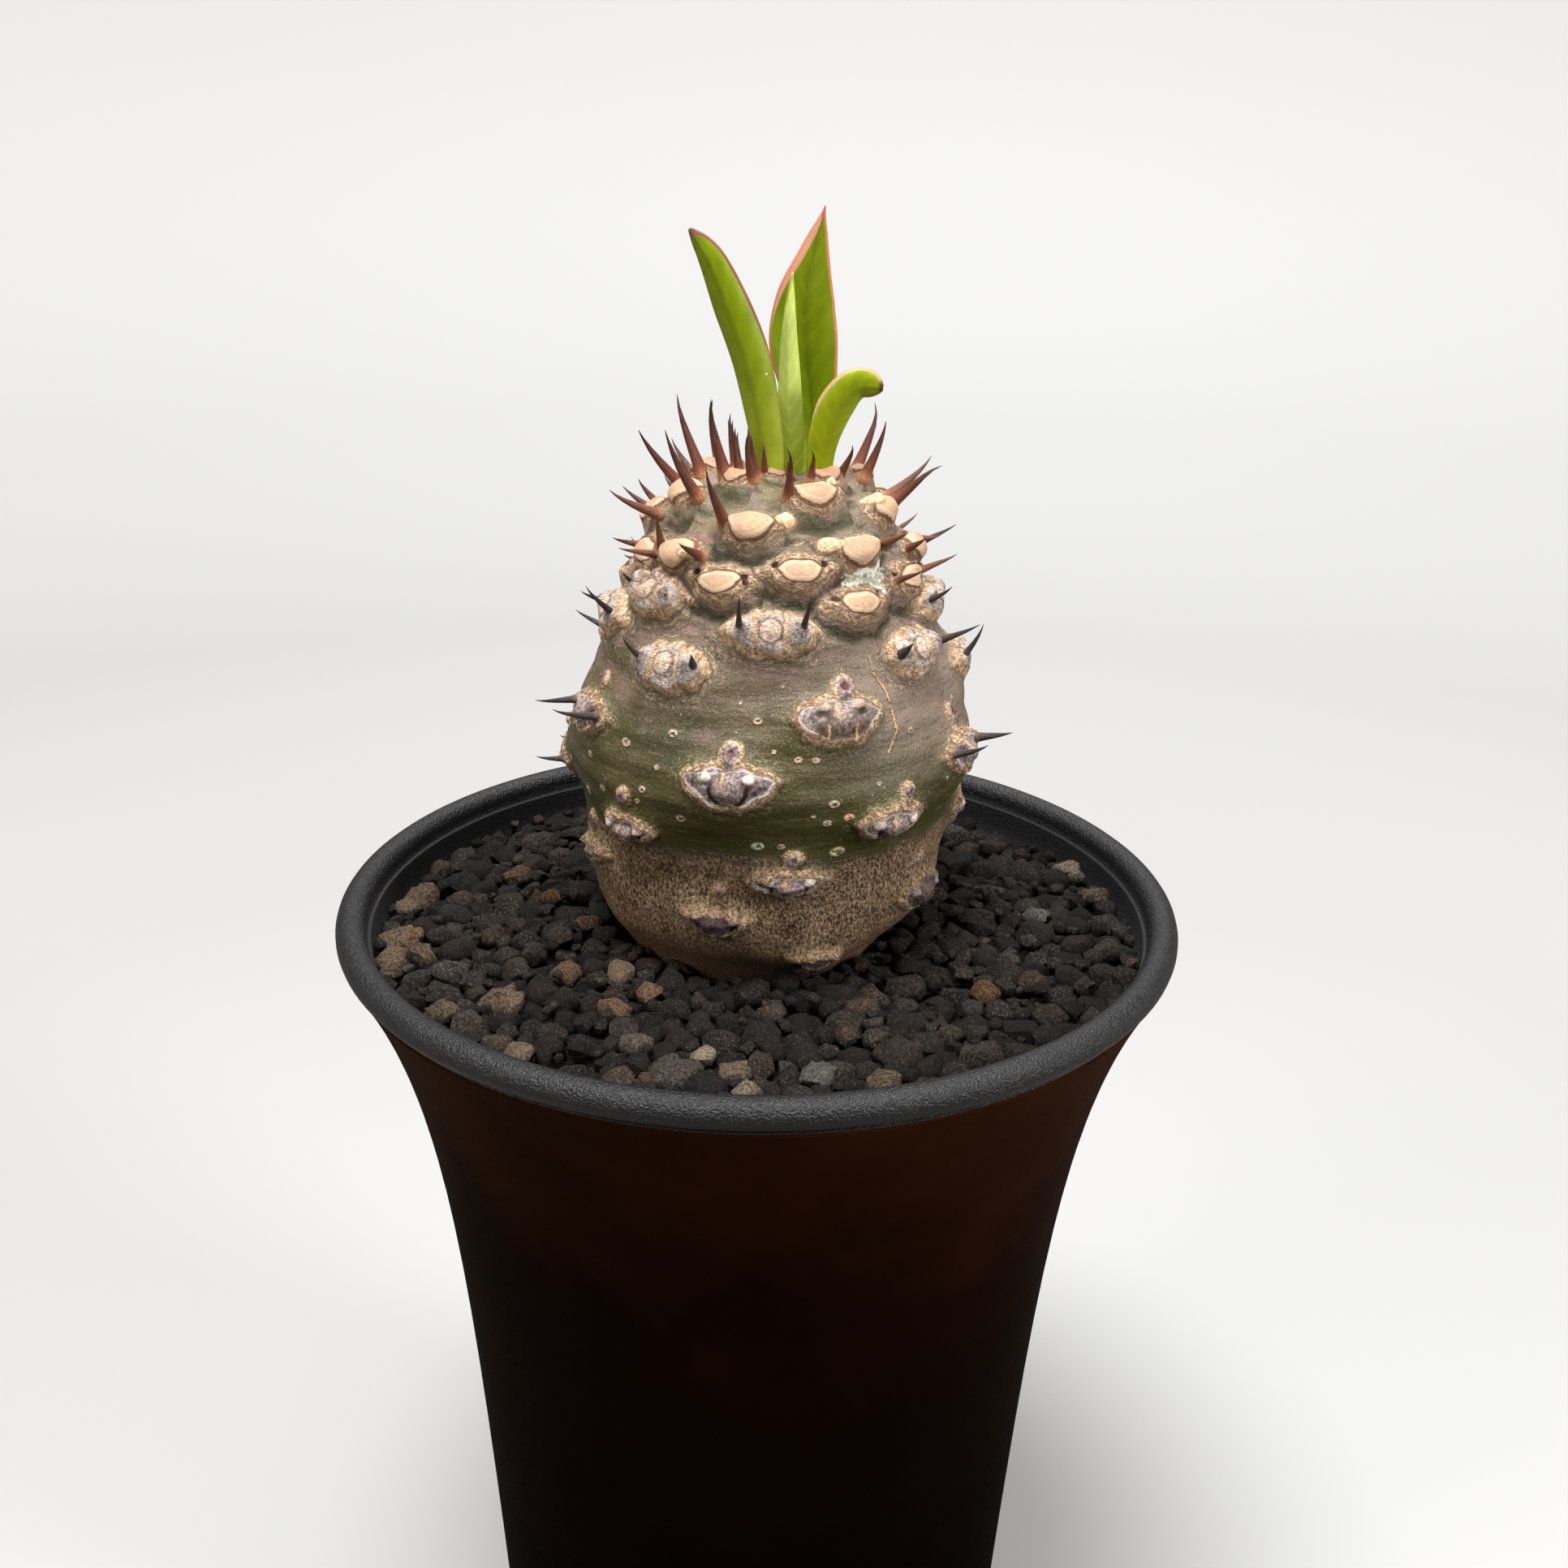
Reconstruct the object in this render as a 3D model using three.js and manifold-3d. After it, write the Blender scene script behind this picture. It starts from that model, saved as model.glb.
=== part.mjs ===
// A swollen, spiny succulent in a tall black plastic pot, in millimetres, +Z up.
// The origin is the centre of the pot's flat foot.
import * as THREE from 'three';
import { mergeVertices } from 'three/addons/utils/BufferGeometryUtils.js';
import Module from 'manifold-3d';

const wasm = await Module();
wasm.setup();

const { clamp, degToRad, euclideanModulo, lerp, smoothstep } = THREE.MathUtils;
const fullTurn = Math.PI * 2;

// Pot
const potHeight = 130;
const rimRadius = 52.5;
const beadRadius = 1.8;
const beadSteps = 6;
const potWall = 1.8;
const potFloor = 2.2;
const floorCorner = 0.4;
const footEdge = 1.5;
const drainRadius = 6;
const potSides = 48;
const beadCentre = potHeight - beadRadius;
// The flare dies away below the rim, then the body tapers straight to the foot
const potBody = { radius: 41.77, taper: 0.0511, flare: 10.88, flareDepth: 20.76 };

// Soil
const soilLine = beadCentre - 3.5;
const soilGap = 0.35;
const crumbSides = 48;
const crumbStep = 3.2;
const crumbRelief = 1.9;
const hiddenUnderStem = 12;
const pebbleBlock = [1.5, 1.3, 1.15];
const pebbleSpacing = 9.6;
const pebbleSize = [2.4, 3.8];
const pebbleSink = 1.7;

// Stem: height above the soil line against radius, from the root tip to the crown
const stemOutline = [
  [-20.5, 0], [-19.6, 3], [-15, 7.2], [-8, 12], [-4, 15.2], [0, 18], [3.5, 20.7], [7.5, 21.9], [12.5, 22.2],
  [17.5, 23.2], [23.5, 25], [29.5, 23.7], [35.5, 21.2], [41.5, 18.5], [46.5, 16.1], [50.5, 13.8], [53.5, 11],
  [55.4, 7.4], [56.2, 3.6], [56.4, 0],
];
const stemAtSoil = 18;
// Height above the soil line against the place of the stem's middle
const stemLean = [
  [-20.5, -0.6, 4.3], [0, -0.6, 4.3], [7, 0.5, 4.3], [24, 1.2, 4.3], [48, 1.4, 4.5], [56.4, 2.6, 5.2],
];
const stemColumns = 42;
const stemRows = 30;
const rootRows = 5;

// Tubercles climb the stem on one spiral: number against distance up the skin from the soil line
const spiralTurn = -137.5;
const spiralStart = -83;
const spiralClimb = [
  [-8, 3.2], [0, 15.6], [8, 28], [16, 40], [24, 47.6], [34, 52.6], [44, 57.3], [50, 61], [58, 64.4],
];
const firstTubercle = -8;
const lastTubercle = 58;
const firstRound = 27;
const firstSmall = 49;
const firstTiny = 53;
const underLeaves = [54, 57];
// Where a tubercle strays from the spiral: degrees round the stem, millimetres up the skin
const strays = {
  '-8': [-8, 1.5], '-5': [12, 2], '-3': [-2, -1], '-2': [16, 1.5], 2: [-2, -1.5], 3: [4, 0],
  5: [-5, -0.5], 6: [3, -2.5], 8: [3, 0.3], 10: [-8, -3], 11: [3, -0.5], 15: [-13, -2], 18: [0, -1],
  19: [12, 0.5], 23: [-8, -1], 24: [4, 0], 26: [0, -1], 27: [-4, -3], 31: [-3, -2], 32: [10, 0],
  34: [-2, -1], 36: [-20, -1.5], 37: [-1, -1.5], 39: [-9, -1.5], 40: [8, 0], 42: [-5, 0], 44: [-16, 0],
  45: [-10, 1], 47: [-5, 1.2], 48: [5, 1.5], 49: [-8, 1], 50: [-16, 1.8], 52: [-17, 1.5], 53: [-8, 2.5],
  55: [-20, 3],
};
const tubercleSwell = [1.1, 1.5];
const tubercleAcross = [6.2, 4.4];
const tubercleTall = [4, 2.6];
const swellBelowShield = 0.7;

// Shields: half width, half height and the corner of the outline, low on the stem and near the crown
const eyeShield = { halfWidth: 5.6, halfHeight: 3, corner: 0.42, seat: 3.5 };
const roundShield = { halfWidth: 4.1, halfHeight: 2.5, corner: 0.6, seat: 3.1 };
const shieldRoot = 1.6;
const shieldStand = 0.75;

// Spines: number against length, and against rise above the horizontal in degrees
const spineLengths = [[3, 1.6], [10, 4.4], [24, 5], [38, 6], [45, 8.8], [50, 9.2], [54, 6], [58, 5]];
const spineRises = [[3, 0], [11, 8], [18, 33], [26, 25], [36, 22], [44, 42], [47, 62], [58, 76]];
const firstSpined = 9;
const spineTurn = 14;
const brokenShare = 0.2;
const spineRoot = 1.3;
// Spines on the front, right then left: length, rise, turn from straight out; 0 is broken off
const seenSpines = {
  10: [[4.4, 8, 14], [4.7, 22, -10]], 11: [[5.6, 12, 4], [4.8, -3, -11]], 13: [[1.2, 20, 14], [1.2, 20, -14]],
  15: [0, [5, 58, -11]], 16: [[2.6, 50, 30], [4.3, 41, -7]], 18: [[6, 23, 19], [3.4, 34, -24]],
  19: [[5.3, 42, 12], [3.3, 18, -10]], 21: [[5.6, 54, 18], [5.6, 54, 2]], 23: [0, [4, 30, -19]],
  24: [[1.4, 20, 10], [2.2, 41, -7]], 26: [0, 0], 27: [0, [3.6, -5, -23]], 29: [[1.4, 40, 14], 0],
  31: [[4.6, 20, 30], [3.6, 22, -5]], 32: [[5.6, 11, 15], [3.1, 13, -7]], 34: [0, 0],
  36: [[3, 3, 11], [3.3, 28, -32]], 37: [[5, 22, 13], [4.6, 60, 30]], 39: [[5.5, 21, 1], 0],
  40: [[6.6, 23, 15], [3.8, 43, -21]], 42: [0, [8, 50, -11]], 44: [[7.2, 41, 9], 0],
  45: [[8.5, 58, 18], [8.1, 49, -13]], 47: [0, [6.2, 62, -12]], 48: [[9.3, 69, 13], [7.8, 76, -17]],
  49: [[7.8, 66, 15], [6.6, 68, -16]], 50: [[5.6, 72, 16], [8.7, 74, -12]],
  52: [[4.3, 56, 4], [3.4, 70, -20]], 53: [[4.4, 85, 15], [5.3, 78, -14]], 55: [[2.4, 45, 7], [3.4, 75, 10]],
};

// Leaves: centre line, half width, fold of each half in radians, and the way the inner face looks
const leafThickness = 0.9;
const leafRows = 11;
const leafHalfSteps = 3;
const leaves = {
  leaf_left: {
    line: [
      [0.6, 3.6, 180], [0.6, 3.6, 183], [0.2, 3.5, 188], [-1, 3.4, 194], [-3.2, 3.6, 200], [-6, 4, 205.5],
      [-8.7, 4.4, 208.6],
    ],
    halfWidth: [1.9, 2.1, 2.45, 2.7, 2.5, 1.6, 0.4],
    fold: [1.15, 1.15, 1.1, 1.05, 0.95, 0.9, 0.7],
    inner: [0.3, 1, 0.1],
    colour: 0x6d9421,
  },
  leaf_centre: {
    line: [
      [5.8, 9.1, 180], [5.7, 9.3, 184], [5.2, 9.7, 190], [4.4, 10, 196], [4.5, 10.2, 201], [5.4, 10.2, 206],
      [6.5, 9.8, 211.2],
    ],
    halfWidth: [1.5, 1.9, 3.1, 4, 3.1, 1.5, 0.3],
    fold: [1, 0.9, 0.7, 0.55, 0.5, 0.5, 0.5],
    inner: [-0.1, -1, 0.05],
    colour: 0x55850f,
  },
  leaf_young: {
    line: [
      [3.1, 6.9, 180], [3.1, 6.9, 184], [2.8, 7, 189], [2.6, 7.1, 194], [2.6, 7.1, 199], [2.9, 7.1, 204],
    ],
    halfWidth: [1.9, 2, 2, 1.8, 1.3, 0.4],
    fold: [1.3, 1.3, 1.25, 1.2, 1.1, 0.9],
    inner: [0.1, 1, 0],
    colour: 0x9dc457,
  },
  leaf_right: {
    line: [
      [6.8, 4.1, 180], [6.8, 4.1, 183], [7.4, 3.9, 186], [8.6, 3.6, 189.2], [10.8, 3.4, 191.6],
      [13.4, 3.3, 191.6],
    ],
    halfWidth: [1.5, 1.8, 2.2, 2.6, 2.5, 1.5],
    fold: [1.1, 1.1, 1, 0.95, 0.9, 0.7],
    inner: [-0.3, 1, 0.35],
    colour: 0x7ba425,
  },
};

// Repeatable scatter between 0 and 1
function scatter(a, b) {
  const value = Math.sin(a * 127.1 + b * 311.7) * 43758.5453;
  return value - Math.floor(value);
}

// Straight interpolation in a list of rows, on the first column
function readRow(rows, at, column = 1) {
  if (at <= rows[0][0]) return rows[0][column];
  for (let i = 1; i < rows.length; i += 1) {
    if (at <= rows[i][0]) {
      const share = (at - rows[i - 1][0]) / (rows[i][0] - rows[i - 1][0]);
      return lerp(rows[i - 1][column], rows[i][column], share);
    }
  }
  return rows[rows.length - 1][column];
}

function bareCopy(geometry) {
  const bare = new THREE.BufferGeometry();
  bare.setAttribute('position', geometry.getAttribute('position').clone());
  if (geometry.index) bare.setIndex(geometry.index.clone());
  return bare;
}

function toSolid(geometry) {
  const merged = mergeVertices(bareCopy(geometry), 1e-4);
  const triVerts = new Uint32Array(merged.index.array);
  const vertProperties = new Float32Array(merged.getAttribute('position').array);
  const solid = new wasm.Manifold(new wasm.Mesh({ numProp: 3, vertProperties, triVerts }));
  if (solid.volume() > 0) return solid;
  return new wasm.Manifold(new wasm.Mesh({ numProp: 3, vertProperties, triVerts: triVerts.reverse() }));
}

function toGeometry(solid) {
  const mesh = solid.getMesh();
  const geometry = new THREE.BufferGeometry();
  geometry.setAttribute('position', new THREE.BufferAttribute(new Float32Array(mesh.vertProperties), 3));
  geometry.setIndex(new THREE.BufferAttribute(new Uint32Array(mesh.triVerts), 1));
  return geometry;
}

function biggestPiece(solid) {
  const pieces = solid.decompose();
  pieces.sort((a, b) => b.volume() - a.volume());
  return pieces[0];
}

function joinAll(solids) {
  let parts = solids;
  while (parts.length > 1) {
    const next = [];
    for (let i = 0; i < parts.length; i += 2) {
      next.push(i + 1 < parts.length ? parts[i].add(parts[i + 1]) : parts[i]);
    }
    parts = next;
  }
  return parts[0];
}

// Closed solid of a grid of rings, each ring a closed loop, capped by a fan at each end
function ringSolid(rings, startPoint, endPoint) {
  const count = rings[0].length;
  const points = [startPoint, ...rings.flat(), endPoint];
  const last = points.length - 1;
  const index = [];
  for (let j = 0; j < count; j += 1) {
    const k = (j + 1) % count;
    index.push(0, 1 + k, 1 + j);
    for (let i = 0; i < rings.length - 1; i += 1) {
      const a = 1 + i * count;
      const b = a + count;
      index.push(a + j, a + k, b + k, a + j, b + k, b + j);
    }
    const top = 1 + (rings.length - 1) * count;
    index.push(top + j, top + k, last);
  }
  const geometry = new THREE.BufferGeometry();
  const flat = new Float32Array(points.flatMap((p) => [p.x, p.y, p.z]));
  geometry.setAttribute('position', new THREE.BufferAttribute(flat, 3));
  geometry.setIndex(index);
  return toSolid(geometry);
}

function potRadius(depth) {
  return potBody.radius - potBody.taper * depth + potBody.flare * Math.exp(-depth / potBody.flareDepth);
}

function buildPot() {
  const outer = [100, 60, 38, 24, 14, 7, 3].map((depth) => [potRadius(depth), beadCentre - depth]);
  const footRadius = potRadius(beadCentre);
  const foot = [
    [footRadius - footEdge, 0],
    [footRadius - footEdge * 0.3, footEdge * 0.3],
    [footRadius, footEdge],
  ];
  const bead = [];
  for (let i = 0; i <= beadSteps; i += 1) {
    const angle = degToRad(lerp(-90, 180, i / beadSteps));
    const radius = rimRadius - beadRadius + beadRadius * Math.cos(angle);
    bead.push([radius, beadCentre + beadRadius * Math.sin(angle)]);
  }
  const inner = [3, 8, 18, 40].map((depth) => [potRadius(depth) - potWall, beadCentre - depth]);
  inner.push([footRadius - potWall - floorCorner, potFloor]);
  const drain = [[drainRadius, potFloor], [drainRadius, 0]];
  const profile = [[drainRadius, 0], ...foot, ...outer, ...bead, ...inner, ...drain];
  const points = profile.map(([radius, height]) => new THREE.Vector2(radius, height));
  const geometry = new THREE.LatheGeometry(points, potSides);
  geometry.rotateX(Math.PI / 2);
  return toSolid(geometry);
}

// Angular pebble: a block with its corners knocked about
function pebble(number, x, y, z, size) {
  const geometry = mergeVertices(bareCopy(new THREE.BoxGeometry(...pebbleBlock)));
  const corners = geometry.getAttribute('position');
  for (let i = 0; i < corners.count; i += 1) {
    const pull = lerp(0.72, 1.22, scatter(number, 50 + i));
    corners.setXYZ(i, corners.getX(i) * pull, corners.getY(i) * (1.7 - pull), corners.getZ(i));
  }
  geometry.scale(size, size, size);
  geometry.rotateX((scatter(number, 3) - 0.5) * 0.9);
  geometry.rotateY((scatter(number, 9) - 0.5) * 0.9);
  geometry.rotateZ(scatter(number, 4) * fullTurn);
  geometry.translate(x, y, z);
  return toSolid(geometry);
}

function placePebbles(edgeRadius) {
  const pebbles = [];
  let number = 0;
  for (let ring = 2; ring * pebbleSpacing < edgeRadius + 1; ring += 1) {
    const count = Math.round(fullTurn * ring);
    for (let i = 0; i < count; i += 1) {
      number += 1;
      const size = lerp(pebbleSize[0], pebbleSize[1], scatter(number, 7) ** 2);
      const angle = ((i + 0.8 * scatter(number, 5) + 0.5 * ring) / count) * fullTurn;
      const spread = ring * pebbleSpacing + (scatter(number, 6) - 0.5) * 3.5;
      const radius = Math.min(spread, edgeRadius + crumbStep * 0.5 - size * 1.25 - 0.1);
      const x = radius * Math.cos(angle);
      const y = radius * Math.sin(angle);
      const fromStem = Math.hypot(x - stemLean[1][1], y - stemLean[1][2]);
      const z = soilLine - pebbleSink + 0.6 * scatter(number, 8);
      if (fromStem > stemAtSoil + 2) pebbles.push(pebble(number, x, y, z, size));
    }
  }
  return pebbles;
}

// Granular soil: it fills the pot, with a crumbled top and larger pebbles sunk into it
function buildSoil() {
  const crumb = (radius, turn, ring) => {
    const drop = crumbRelief * scatter(ring, turn + 3);
    const slide = radius + (scatter(ring, turn + 400) - 0.5) * crumbStep * 0.7;
    const wander = (ring % 2) * 0.5 + (scatter(ring, turn + 800) - 0.5) * 0.6;
    const angle = ((turn + wander) / crumbSides) * fullTurn;
    return new THREE.Vector3(slide * Math.cos(angle), slide * Math.sin(angle), soilLine - drop);
  };
  const ringOf = (make) => Array.from({ length: crumbSides }, (_, turn) => make(turn));
  const wallRing = (depth, inset) => ringOf((turn) => {
    const radius = potRadius(depth) - potWall - soilGap - inset;
    const angle = (turn / crumbSides) * fullTurn;
    return new THREE.Vector3(radius * Math.cos(angle), radius * Math.sin(angle), beadCentre - depth);
  });
  const edgeDepth = beadCentre - soilLine + crumbRelief + 0.8;
  const floorDepth = beadCentre - potFloor - soilGap;
  const rings = [wallRing(floorDepth, floorCorner + 0.2)];
  for (const depth of [40, 18, edgeDepth]) rings.push(wallRing(depth, 0.1));
  const edgeRadius = potRadius(edgeDepth) - potWall - soilGap - crumbStep * 0.5;
  for (let ring = 0; edgeRadius - ring * crumbStep > hiddenUnderStem; ring += 1) {
    rings.push(ringOf((turn) => crumb(edgeRadius - ring * crumbStep, turn, ring)));
  }
  const bottom = new THREE.Vector3(0, 0, potFloor + soilGap);
  const body = ringSolid(rings, bottom, new THREE.Vector3(0, 0, soilLine - 2));
  return joinAll([body, ...placePebbles(edgeRadius)]);
}

// Meridian of the stem, read by its distance up the skin from the soil line
const outlinePoints = stemOutline.map(([height, radius]) => new THREE.Vector3(radius, 0, height));
const meridian = new THREE.CatmullRomCurve3(outlinePoints);
meridian.arcLengthDivisions = 800;
const meridianLength = meridian.getLength();
const buriedLength = meridianLength * findShare(0);

function findShare(height) {
  let low = 0;
  let high = 0.6;
  for (let i = 0; i < 40; i += 1) {
    const middle = (low + high) / 2;
    if (meridian.getPointAt(middle).z < height) low = middle;
    else high = middle;
  }
  return low;
}

// Frame on the bare stem: point, outward, sideways and up the skin
function skinFrame(azimuth, climb) {
  const share = clamp((climb + buriedLength) / meridianLength, 0, 1);
  const point = meridian.getPointAt(share);
  const along = meridian.getTangentAt(share);
  const angle = degToRad(azimuth);
  const out = new THREE.Vector3(Math.cos(angle), Math.sin(angle), 0);
  const side = new THREE.Vector3(-Math.sin(angle), Math.cos(angle), 0);
  const rise = out.clone().multiplyScalar(along.x).setZ(along.z).normalize();
  const normal = out.clone().multiplyScalar(along.z).setZ(-along.x).normalize();
  const position = out.clone().multiplyScalar(Math.max(point.x, 0)).setZ(soilLine + point.z);
  position.x += readRow(stemLean, point.z, 1);
  position.y += readRow(stemLean, point.z, 2);
  return { position, normal, side, rise, radius: Math.max(point.x, 0.01) };
}

const tubercles = [];
for (let number = firstTubercle; number <= lastTubercle; number += 1) {
  if (!underLeaves.includes(number)) tubercles.push(placeTubercle(number));
}

// The youngest tubercles, round the growing tip, are smaller
function placeTubercle(number) {
  const [turn, lift] = strays[number] ?? [0, 0];
  const azimuth = spiralStart + number * spiralTurn + turn;
  const climb = readRow(spiralClimb, number) + lift;
  const crown = smoothstep(number, 14, 34);
  const small = number < firstSmall ? 1 : 0.72;
  return {
    number,
    azimuth,
    climb,
    radius: skinFrame(azimuth, climb).radius,
    scale: number < firstTiny ? small : 0.5,
    swell: lerp(...tubercleSwell, crown) * (number < firstTiny ? 1 : 0.4),
    across: lerp(...tubercleAcross, crown) * (number < firstSmall ? 1 : 0.75),
    tall: lerp(...tubercleTall, crown),
    shield: number < firstRound ? eyeShield : roundShield,
  };
}

// How far the skin stands out at a place: the tubercle's swelling sits just below its shield
function swelling(azimuth, climb) {
  let sum = 0;
  for (const t of tubercles) {
    const turn = euclideanModulo(azimuth - t.azimuth + 180, 360) - 180;
    const dx = (degToRad(turn) * t.radius) / t.across;
    const dy = (climb - t.climb + swellBelowShield) / t.tall;
    sum += (t.swell * Math.exp(-dx * dx - dy * dy)) ** 3;
  }
  return Math.cbrt(sum);
}

function stemBody(offset) {
  const reach = meridianLength - buriedLength;
  const rings = [];
  for (let i = 1; i < stemRows; i += 1) {
    const isRoot = i < rootRows;
    const share = isRoot ? i / rootRows : (i - rootRows) / (stemRows - rootRows);
    const climb = isRoot ? -buriedLength * (1 - share) : reach * (1.04 * share - 0.04 * share ** 4);
    const ring = [];
    for (let j = 0; j < stemColumns; j += 1) {
      const azimuth = (j / stemColumns) * 360;
      const { position, normal } = skinFrame(azimuth, climb);
      ring.push(position.addScaledVector(normal, offset + (isRoot ? 0 : swelling(azimuth, climb))));
    }
    rings.push(ring);
  }
  const tip = skinFrame(0, -buriedLength).position;
  tip.z -= offset;
  const crown = skinFrame(0, reach).position;
  crown.z += offset + 0.1;
  return ringSolid(rings, tip, crown);
}

// Raised scar: an eye-shaped shield low on the stem, a rounder leaf scar near the crown
function buildShield({ azimuth, climb, scale, shield }) {
  const frame = skinFrame(azimuth, climb);
  const stand = swelling(azimuth, climb);
  const { corner } = shield;
  const outline = [[1, 0], [corner, 0.9], [-corner, 0.9], [-1, 0], [-corner, -0.9], [corner, -0.9]];
  const place = (u, v, lift) => {
    const x = u * shield.halfWidth * scale;
    const sag = (x * x) / (2 * Math.max(frame.radius, 8));
    return frame.position.clone()
      .addScaledVector(frame.side, x)
      .addScaledVector(frame.rise, v * shield.halfHeight * scale)
      .addScaledVector(frame.normal, stand + lift - sag);
  };
  const root = outline.map(([u, v]) => place(u, v, -shieldRoot));
  const face = outline.map(([u, v]) => place(u * 0.86, v * 0.84, shieldStand));
  return ringSolid([root, face], place(0, 0, -shieldRoot), place(0, 0, shieldStand - 0.15));
}

// Length, rise and turn of a spine, or nothing where it is worn away
function readSpine(number, hand) {
  if (number < firstSpined) return 0;
  if (seenSpines[number]) return seenSpines[number][hand > 0 ? 0 : 1];
  if (scatter(number, 20 + hand) < brokenShare) return 0;
  const length = readRow(spineLengths, number) * lerp(0.88, 1.12, scatter(number, 30 + hand));
  const rise = readRow(spineRises, number) + 12 * (scatter(number, 40 + hand) - 0.5);
  return [length, rise, hand * spineTurn];
}

// Bent three-sided spine, rooted in its shield
function buildSpine({ azimuth, climb, scale, shield }, hand, [length, riseAngle, turnAngle]) {
  const frame = skinFrame(azimuth, climb);
  const rise = degToRad(riseAngle);
  const heading = degToRad(azimuth + turnAngle);
  const level = Math.cos(rise);
  const aim = new THREE.Vector3(Math.cos(heading) * level, Math.sin(heading) * level, Math.sin(rise));
  const seat = shield.seat * scale;
  const sag = (seat * seat) / (2 * Math.max(frame.radius, 8));
  const foot = frame.position.clone()
    .addScaledVector(frame.side, hand * seat)
    .addScaledVector(frame.normal, swelling(azimuth, climb) + 0.5 - sag);
  const across = new THREE.Vector3(0, 0, 1).cross(aim).normalize();
  const upright = aim.clone().cross(across).normalize();
  const thick = clamp(0.42 + length * 0.055, 0.5, 0.9);
  const ringAt = (distance, radius) => [0, 1, 2].map((k) => {
    const turn = (k / 3) * fullTurn;
    return foot.clone()
      .addScaledVector(aim, distance)
      .addScaledVector(across, radius * Math.cos(turn))
      .addScaledVector(upright, radius * Math.sin(turn));
  });
  const rings = [ringAt(-spineRoot, thick * 1.1), ringAt(length * 0.45, thick * 0.62)];
  const start = foot.clone().addScaledVector(aim, -spineRoot);
  const tip = foot.clone().addScaledVector(aim, length);
  tip.z += length * 0.06;
  return ringSolid(rings, start, tip);
}

function buildStem() {
  const solids = [stemBody(0)];
  for (const tubercle of tubercles) {
    solids.push(buildShield(tubercle));
    for (const hand of [1, -1]) {
      const spine = readSpine(tubercle.number, hand);
      if (spine) solids.push(buildSpine(tubercle, hand, spine));
    }
  }
  return biggestPiece(joinAll(solids));
}

// Folded blade: each ring runs over the outer face and back over the inner face
function buildLeaf({ line, halfWidth, fold, inner }) {
  const curve = new THREE.CatmullRomCurve3(line.map(([x, y, z]) => new THREE.Vector3(x, y, z)));
  const looks = new THREE.Vector3(...inner).normalize();
  const widthRows = halfWidth.map((value, i) => [i / (line.length - 1), value]);
  const foldRows = fold.map((value, i) => [i / (line.length - 1), value]);
  const rings = [];
  for (let i = 0; i <= leafRows; i += 1) {
    const share = i / leafRows;
    const centre = curve.getPoint(share);
    const along = curve.getTangent(share);
    const side = along.clone().cross(looks).normalize();
    const inward = side.clone().cross(along).normalize();
    const width = readRow(widthRows, share);
    const angle = readRow(foldRows, share);
    const bend = width / angle;
    const thin = leafThickness * Math.min(1, 0.5 + width * 0.35);
    const ring = [];
    const point = (turn, radius) => centre.clone()
      .addScaledVector(side, radius * Math.sin(turn))
      .addScaledVector(inward, bend - radius * Math.cos(turn));
    for (let j = -leafHalfSteps; j <= leafHalfSteps; j += 1) {
      ring.push(point((j / leafHalfSteps) * angle, bend + thin / 2));
    }
    for (let j = leafHalfSteps; j >= -leafHalfSteps; j -= 1) {
      ring.push(point((j / leafHalfSteps) * angle * 0.96, Math.max(bend - thin / 2, 0.05)));
    }
    rings.push(ring);
  }
  return ringSolid(rings, curve.getPoint(0), curve.getPoint(1));
}

const group = new THREE.Group();

function addPiece(name, solid, colour, roughness) {
  const material = new THREE.MeshStandardMaterial({ color: colour, roughness, metalness: 0 });
  const mesh = new THREE.Mesh(toGeometry(solid), material);
  mesh.name = name;
  group.add(mesh);
}

const stemClearance = stemBody(soilGap);
addPiece('pot', buildPot(), 0x17181a, 0.45);
addPiece('soil', biggestPiece(buildSoil().subtract(stemClearance)), 0x2b2522, 0.95);
addPiece('stem', buildStem(), 0x5c5a48, 0.65);
for (const [name, leaf] of Object.entries(leaves)) {
  addPiece(name, biggestPiece(buildLeaf(leaf).subtract(stemClearance)), leaf.colour, 0.4);
}

export default group;
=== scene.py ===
# A swollen, spiny succulent with a tuft of folded leaves, in a tall black pot of dark granular soil
import math
import random
import bpy
import numpy as np
from mathutils import Matrix, Vector


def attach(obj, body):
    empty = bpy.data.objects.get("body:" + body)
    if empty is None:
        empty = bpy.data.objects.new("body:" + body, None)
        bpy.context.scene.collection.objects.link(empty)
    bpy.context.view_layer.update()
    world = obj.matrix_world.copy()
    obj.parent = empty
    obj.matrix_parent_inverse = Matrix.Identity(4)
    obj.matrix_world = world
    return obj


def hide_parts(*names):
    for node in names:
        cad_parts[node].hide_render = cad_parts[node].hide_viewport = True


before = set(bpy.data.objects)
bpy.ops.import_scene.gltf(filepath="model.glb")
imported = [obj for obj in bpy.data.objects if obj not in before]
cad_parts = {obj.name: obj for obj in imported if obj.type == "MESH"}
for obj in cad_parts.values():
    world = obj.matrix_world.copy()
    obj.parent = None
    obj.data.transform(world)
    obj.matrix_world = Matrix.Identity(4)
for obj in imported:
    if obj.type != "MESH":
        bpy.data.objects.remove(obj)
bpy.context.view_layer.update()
mm = 0.001
print("frame loaded")


# Tools that every piece uses

def startPiece(name):
    made = bpy.context.object
    made.name = made.data.name = name
    return made


def deselectAll():
    if bpy.context.object and bpy.context.object.mode != "OBJECT":
        bpy.ops.object.mode_set(mode="OBJECT")
    bpy.ops.object.select_all(action="DESELECT")


def makeActive(piece):
    deselectAll()
    piece.select_set(True)
    bpy.context.view_layer.objects.active = piece


def readPoints(piece):
    flat = np.empty(len(piece.data.vertices) * 3)
    piece.data.vertices.foreach_get("co", flat)
    return flat.reshape(-1, 3)


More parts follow.
